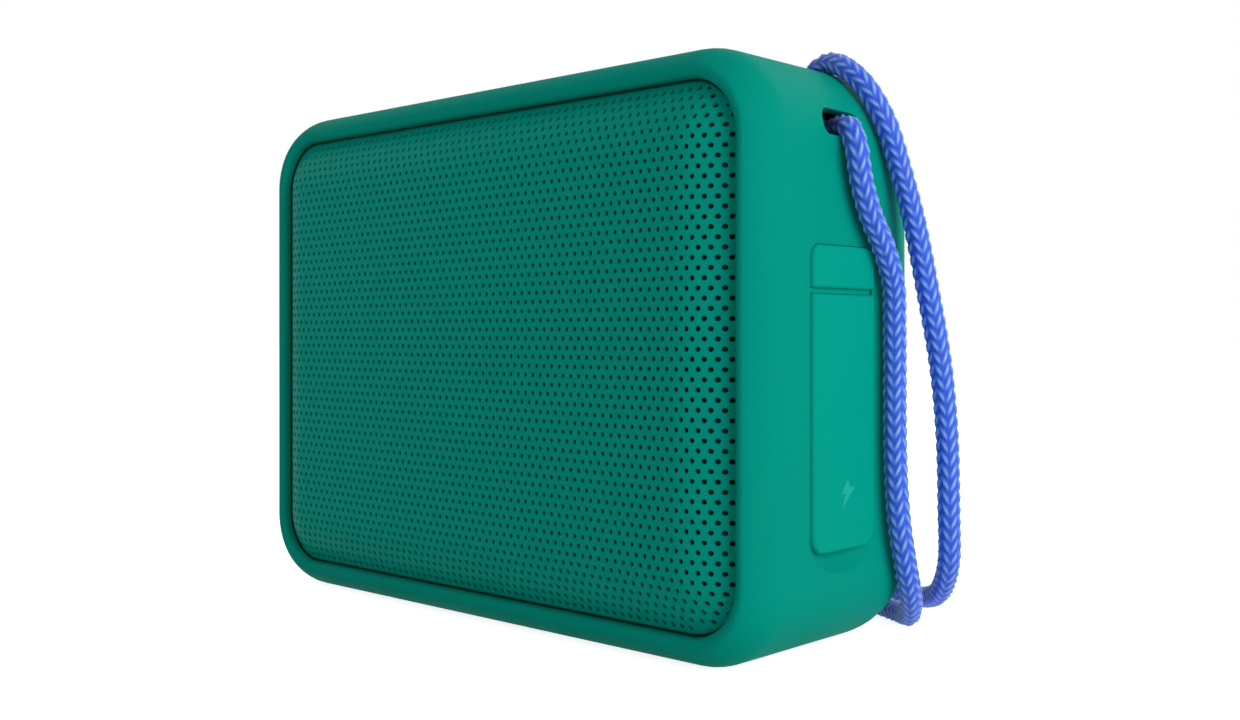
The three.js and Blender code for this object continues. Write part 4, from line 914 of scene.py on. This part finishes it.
def pad(name, centre, size, radii, back=PAD_BACK, face=PAD_FACE, shoulder=SHOULDER, steps=8, shoulder_steps=4):
    """A plate that stands off the right-hand side, with its outer edge rounded."""
    levels = [(0, back), (0, face - shoulder)]
    for step in range(1, shoulder_steps + 1):
        angle = step / shoulder_steps * QUARTER
        levels.append((shoulder * (1 - math.cos(angle)), face - shoulder * (1 - math.sin(angle))))
    outlines = []
    for inset, x in levels:
        smaller, tighter = shrunk(size, radii, inset)
        outlines.append([(x, y, z) for y, z in rounded(centre, smaller, tighter, steps)])
    return drawn_out(name, outlines)


leaf_top, tab_bottom = HINGE_LINE - WEB_HALF, HINGE_LINE + WEB_HALF
leaf = pad("flap_leaf", (FLAP_Y, (leaf_top + FLAP_BOTTOM) / 2), (FLAP_WIDTH, leaf_top - FLAP_BOTTOM),
           [FLAP_LOW_CORNER, WEB_SIDE_CORNER, WEB_SIDE_CORNER, FLAP_LOW_CORNER])
tab = pad("hinge_tab", (FLAP_Y, (TAB_TOP + tab_bottom) / 2), (FLAP_WIDTH, TAB_TOP - tab_bottom),
          [WEB_SIDE_CORNER, FLAP_HIGH_CORNER, FLAP_HIGH_CORNER, WEB_SIDE_CORNER])
print("leaf:", len(leaf.data.polygons), "faces, tab:", len(tab.data.polygons), "faces")

# %% The thin web of the hinge
WEB_BACK, WEB_FACE = PAD_BACK + 0.1 * MM, PAD_FACE - 0.8 * MM
WEB_ROUND, WEB_CORNERS = 0.1 * MM, [0.16 * MM] * 4
WEB_LOW, WEB_HIGH = leaf_top + 0.02 * MM, tab_bottom + 0.3 * MM
web_centre = (FLAP_Y, (WEB_LOW + WEB_HIGH) / 2)
web_size = (FLAP_WIDTH - 0.2 * MM, WEB_HIGH - WEB_LOW)
web = pad("hinge_web", web_centre, web_size, WEB_CORNERS, WEB_BACK, WEB_FACE, WEB_ROUND, steps=2, shoulder_steps=2)
combine(tab, web, "UNION")
shade(tab)
settle(tab, flap_rubber, "flap_rubber", "enclosure", "flap_tab")

# %% The plug behind the leaf
PLUG_SIZE, PLUG_CORNERS = (8.9 * MM, 25.4 * MM), [1.4 * MM] * 4
PLUG_END, PLUG_WALL, PLUG_ROUND = 52.7 * MM, 1.2 * MM, 0.3 * MM
PLUG_ROOT, HOLLOW_ROOT = PAD_BACK + 0.2 * MM, PAD_BACK - 0.05 * MM
outside, inside = (PLUG_SIZE, PLUG_CORNERS), shrunk(PLUG_SIZE, PLUG_CORNERS, PLUG_WALL)
plug_levels = [
    (*outside, PLUG_ROOT), (*outside, PLUG_END + PLUG_ROUND), (*shrunk(*outside, PLUG_ROUND), PLUG_END),
    (*shrunk(*inside, -PLUG_ROUND), PLUG_END), (*inside, PLUG_END + PLUG_ROUND), (*inside, HOLLOW_ROOT),
]
plug = drawn_out("flap_plug", [[(x, y, z) for y, z in rounded(SOCKET_CENTRE, size, radii, 5)]
                               for size, radii, x in plug_levels])
combine(leaf, plug, "UNION")
shade(leaf)
settle(leaf, flap_rubber, "flap_rubber", "flap", "port_flap")

# %% [markdown]
# A charging bolt is moulded on the leaf, a hair proud of it and a little lighter. It is one flat outline
# given a thickness.
# %% The bolt on the leaf
BOLT = MM * np.array([(-2.4, 24.77), (-4.06, 22.8), (-2.95, 22.7), (-3.92, 20.73), (-0.74, 23.48),
                      (-2.03, 23.65)])
BOLT_RISE, SIGN_ROOT = 0.06 * MM, 0.1 * MM


def raised_sign(name, corners, place, base, rise):
    """A flat outline drawn out to a thin raised sign. place turns a corner and a height into a point."""
    return drawn_out(name, [[place(u, v, w) for u, v in corners] for w in (base - SIGN_ROOT, base + rise)])


bolt = raised_sign("charge_bolt", BOLT, lambda u, v, w: (w, u, v), PAD_FACE, BOLT_RISE)
settle(bolt, icon_rubber, "flap_rubber", "flap")

# %% [markdown]
# ## The buttons
# Five round caps share one shape: a rounded edge, a slightly dished top for the finger, and a stem down
# to the switch. One is drawn out through the circles of its profile and copied to the five places, each
# copy with its own mesh. Their signs are common ones: power, minus, play, plus, and waves for pairing.
# %% One cap and its copies
CAP_RADIUS, CAP_TOP, CAP_SKIN = 4.5 * MM, 82.35 * MM, 1.5 * MM
STEM_RADIUS, STEM_END = 1.9 * MM, 77.6 * MM
CAP_SIDES, CHAMFER, FILLET = 48, 0.2 * MM, 0.3 * MM
CAP_ROUND = [(0, 0.45), (0.06, 0.25), (0.2, 0.09), (0.42, 0), (0.8, 0.02), (1.8, 0.12), (3.2, 0.18)]
skirt = CAP_TOP - CAP_SKIN
cap_profile = [
    (STEM_RADIUS - CHAMFER, STEM_END), (STEM_RADIUS, STEM_END + CHAMFER), (STEM_RADIUS, skirt - FILLET),
    (STEM_RADIUS + FILLET, skirt), (CAP_RADIUS - CHAMFER, skirt), (CAP_RADIUS, skirt + CHAMFER),
    *[(CAP_RADIUS - inward * MM, CAP_TOP - down * MM) for inward, down in CAP_ROUND],
]
BUTTONS = ["power_button", "volume_down_button", "play_button", "volume_up_button", "pairing_button"]
first_cap = drawn_out("cap_power_button", [[(x, y, height) for x, y in circle((0, 0), radius, CAP_SIDES)]
                                           for radius, height in cap_profile])
shade(first_cap, 40)
for name, x in zip(BUTTONS, BUTTON_PLACES):
    select_only(first_cap)
    bpy.ops.object.duplicate()
    cap = bpy.context.object
    cap.name = cap.data.name = "cap_" + name
    bpy.ops.transform.translate(value=(x, BUTTON_Y, 0))
    bpy.ops.object.transform_apply(location=True, rotation=True, scale=True)
    settle(cap, flap_rubber, "flap_rubber", name, name)
bpy.data.objects.remove(first_cap)

# %% Signs on the caps
SIGN_LINE, SIGN_RISE, BAR_ROUND = 0.55 * MM, 0.22 * MM, 0.3
DISH = CAP_TOP - 0.2 * MM
PAIRING_SHIFT = -0.8 * MM


def bar(width, height, centre=(0, 0)):
    """Corners of an upright bar with lightly rounded ends."""
    return rounded(centre, (width, height), [min(width, height) * BAR_ROUND] * 4, 2)


def band(radius, start, end, line=SIGN_LINE, steps=24):
    """Corners of a curved band between two angles in degrees."""
    turns = [math.radians(angle) for angle in np.linspace(start, end, steps + 1)]
    return [(reach * math.cos(turn), reach * math.sin(turn))
            for reach, order in ((radius + line / 2, turns), (radius - line / 2, turns[::-1])) for turn in order]


ARM, LINE = 1.5 * MM, SIGN_LINE / 2
PLUS = [(LINE, -ARM), (LINE, -LINE), (ARM, -LINE), (ARM, LINE), (LINE, LINE), (LINE, ARM),
        (-LINE, ARM), (-LINE, LINE), (-ARM, LINE), (-ARM, -LINE), (-LINE, -LINE), (-LINE, -ARM)]
SIGNS = {
    "power_button": [band(1.45 * MM, 125, 415), bar(SIGN_LINE, 1.7 * MM, (0, 1.15 * MM))],
    "volume_down_button": [bar(2 * ARM, SIGN_LINE)],
    "play_button": [[(-1.0 * MM, -1.35 * MM), (1.5 * MM, 0), (-1.0 * MM, 1.35 * MM)]],
    "volume_up_button": [PLUS],
    "pairing_button": [band(1.7 * MM, -40, 40, steps=10), band(0.85 * MM, -45, 45, steps=8),
                       band(0.28 * MM, 0, 350, 0.5 * MM, 12)],
}
for name, x in zip(BUTTONS, BUTTON_PLACES):
    shift = PAIRING_SHIFT if name == "pairing_button" else 0
    for number, corners in enumerate(SIGNS[name]):
        sign = raised_sign(f"sign_{name}_{number}", corners, lambda u, v, w: (x + u + shift, BUTTON_Y + v, w),
                           DISH, SIGN_RISE)
        settle(sign, icon_rubber, "flap_rubber", name)

# %% [markdown]
# ## Finishes for the parts that keep their CAD shape
# The parts inside are right as they are, so each only gets a finish. Most get the finish that their real material
# has:
# they are moulded, cast or painted, and take other values of the same maker. The spider is woven like the cloth.
# The housing, front baffle and cord clamp take a dark green with painted shade in it instead, for green rubber in
# shade.
# %% Metals, plastics and boards
zinc_steel = finish("zinc_steel", paint(172, 176, 180), 0.34, metallic=0.9, grain=1500.0, depth=0.008 * MM,
                    tone=0.08)
ferrite = finish("ferrite", paint(58, 58, 62), 0.55, metallic=0.3, grain=2500.0, depth=0.02 * MM, tone=0.12)
paper_cone = finish("paper_cone", paint(26, 27, 29), 0.85, grain=2200.0, depth=0.03 * MM, tone=0.2, sheen=0.15)
surround_rubber = finish("surround_rubber", paint(18, 19, 20), 0.6, grain=4000.0, dust=0.1)
gasket_foam = finish("gasket_foam", paint(44, 44, 47), 0.95, grain=3500.0, depth=0.06 * MM, tone=0.3)
switch_plastic = finish("switch_plastic", paint(22, 22, 23), 0.45, grain=5000.0)
cell_wrap = finish("cell_wrap", paint(47, 111, 181), 0.3, grain=600.0, depth=0.01 * MM, coat=0.4)
clear_plastic = finish("clear_plastic", paint(228, 240, 236), 0.15, grain=1200.0, depth=0.002 * MM, dust=0.02)
lead_insulation = finish("lead_insulation", paint(176, 32, 32), 0.4, grain=2500.0)
spider_cloth = woven("spider_cloth", paint(120, 84, 40), paint(186, 142, 78), 0.5 * MM)
print("finishes:", len(bpy.data.materials))

# %% [markdown]
# Two finishes have a pattern of their own. A voice coil is fine enamelled wire, turn beside turn, and a wave
# along its axis is enough to show the turns. A circuit board is solder mask over copper tracks, and a cell
# pattern that measures distance along both axes gives straight, stepped tracks.
# %% Finish: wound copper
def wound(name, dark, light, wire):
    """Turns of fine wire round a former, as a wave along the winding's axis."""
    material, wires, shader = new_finish(name)
    turn = wires.spread(wires.wave(wires.axes(wires.place())["Y"], wire), -1, 1)
    wires.join(wires.mix(turn, dark, light), shader.inputs["Base Color"])
    wires.join(wires.spread(turn, 0, 1, 0.5, 0.28), shader.inputs["Roughness"])
    shader.inputs["Metallic"].default_value = 0.9
    wires.raise_surface(shader, turn, 0.08 * MM)
    return material


coil_copper = wound("coil_copper", paint(110, 52, 24), paint(222, 146, 92), 0.25 * MM)


# %% Finish: circuit board
def circuit(name, mask, track):
    """Solder mask over copper tracks, from the straight edges of a stepped cell pattern."""
    material, wires, shader = new_finish(name)
    cells = wires.cells(wires.place(), 420, distance="MANHATTAN", feature="F1")
    rings = wires.math("FRACT", wires.math("MULTIPLY", cells, 5))
    tracks = wires.spread(rings, 0.42, 0.5)
    wires.join(wires.mix(tracks, mask, track), shader.inputs["Base Color"])
    wires.join(wires.spread(tracks, 0, 1, 0.35, 0.45), shader.inputs["Roughness"])
    wires.raise_surface(shader, tracks, 0.03 * MM)
    return material


circuit_board = circuit("circuit_board", paint(14, 66, 38), paint(34, 112, 62))
print("finishes:", len(bpy.data.materials))

# %% Hand the finishes out
CAD_FINISHES = {
    # Housing, front baffle and cord clamp take the dark green with painted shade, for the green rubber seen in
    # shade through the slots and the groove.
    housing_green_painted_shade: ["rear_housing", "front_baffle", "cord_clamp"],
    dark_plastic: ["radiator_frame", "audio_socket"],
    gasket_foam: ["baffle_gasket"],
    zinc_steel: [f"baffle_screw_{n}" for n in range(1, 5)]
                + ["driver_frame", "radiator_mass", "charging_socket", "radio_module"],
    ferrite: ["driver_magnet"],
    paper_cone: ["driver_cone"],
    surround_rubber: ["driver_surround", "radiator_surround", "microphone"],
    coil_copper: ["voice_coil"],
    spider_cloth: ["driver_spider"],
    circuit_board: ["main_board", "button_board"],
    switch_plastic: [f"button_switch_{n}" for n in range(1, 6)],
    cell_wrap: ["battery_cell"],
    clear_plastic: ["light_pipe"],
    lead_insulation: ["speaker_lead", "battery_lead"],
}
for material, names in CAD_FINISHES.items():
    for name in names:
        for material_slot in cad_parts[name].material_slots:
            material_slot.material = material
print("CAD nodes with a finish:", sum(len(names) for names in CAD_FINISHES.values()))

# %% [markdown]
# ## Floor and light
# The speaker stands on a plain white floor in front of white. To the camera, and in reflections, floor
# and world are mixed with a white that gives no light, so that the background stays white while the lamps
# stay at a level that leaves colours as they are. The floor keeps a part of its own shading, and with it
# the speaker's shadow.
# %% The floor
FLOOR_GLOW = 0.86
bpy.ops.object.select_all(action="DESELECT")
bpy.ops.mesh.primitive_plane_add(size=8, location=(0, 0, 0))
floor = bpy.context.object
floor.name = "studio_floor"
floor_white, wires, matt = new_finish("floor_white")
matt.inputs["Base Color"].default_value = (0.9, 0.9, 0.9, 1)
matt.inputs["Roughness"].default_value = 0.9
glow = wires.node("ShaderNodeEmission")
glow.inputs["Color"].default_value = (1, 1, 1, 1)
wires.join(wires.math("MULTIPLY", wires.seen(), FLOOR_GLOW), glow.inputs["Strength"])
both = wires.node("ShaderNodeAddShader")
wires.join(matt.outputs[0], both.inputs[0])
wires.join(glow.outputs[0], both.inputs[1])
wires.join(both.outputs[0], floor_white.node_tree.nodes["Material Output"].inputs["Surface"])
floor.data.materials.append(floor_white)
print("floor in m:", list(floor.dimensions[:2]))

# %% The white surroundings
AMBIENT = 0.265
world = bpy.data.worlds.new("white_room")
bpy.context.scene.world = world
world.use_nodes = True
wires = Wiring(world.node_tree)
back = world.node_tree.nodes["Background"]
back.inputs["Color"].default_value = (1, 1, 1, 1)
wires.join(wires.spread(wires.seen(), 0, 1, AMBIENT, 1.0), back.inputs["Strength"])
print("light from all round:", AMBIENT)

# %% The lamps
AIM = Vector((0, 0, 40 * MM))


def softbox(name, place, size, power):
    """A square lamp that looks at the speaker."""
    bpy.ops.object.select_all(action="DESELECT")
    turn = (AIM - Vector(place)).to_track_quat("-Z", "Y").to_euler()
    bpy.ops.object.light_add(type="AREA", location=place, rotation=turn)
    lamp = bpy.context.object
    lamp.name = name
    lamp.data.shape, lamp.data.size, lamp.data.energy = "SQUARE", size, power


softbox("right_softbox", (0.97, -0.14, 0.3), 0.9, 7.8)
softbox("left_softbox", (-0.9, -0.25, 0.4), 0.6, 0.5)
softbox("back_softbox", (0.1, 0.9, 0.5), 0.6, 2.2)
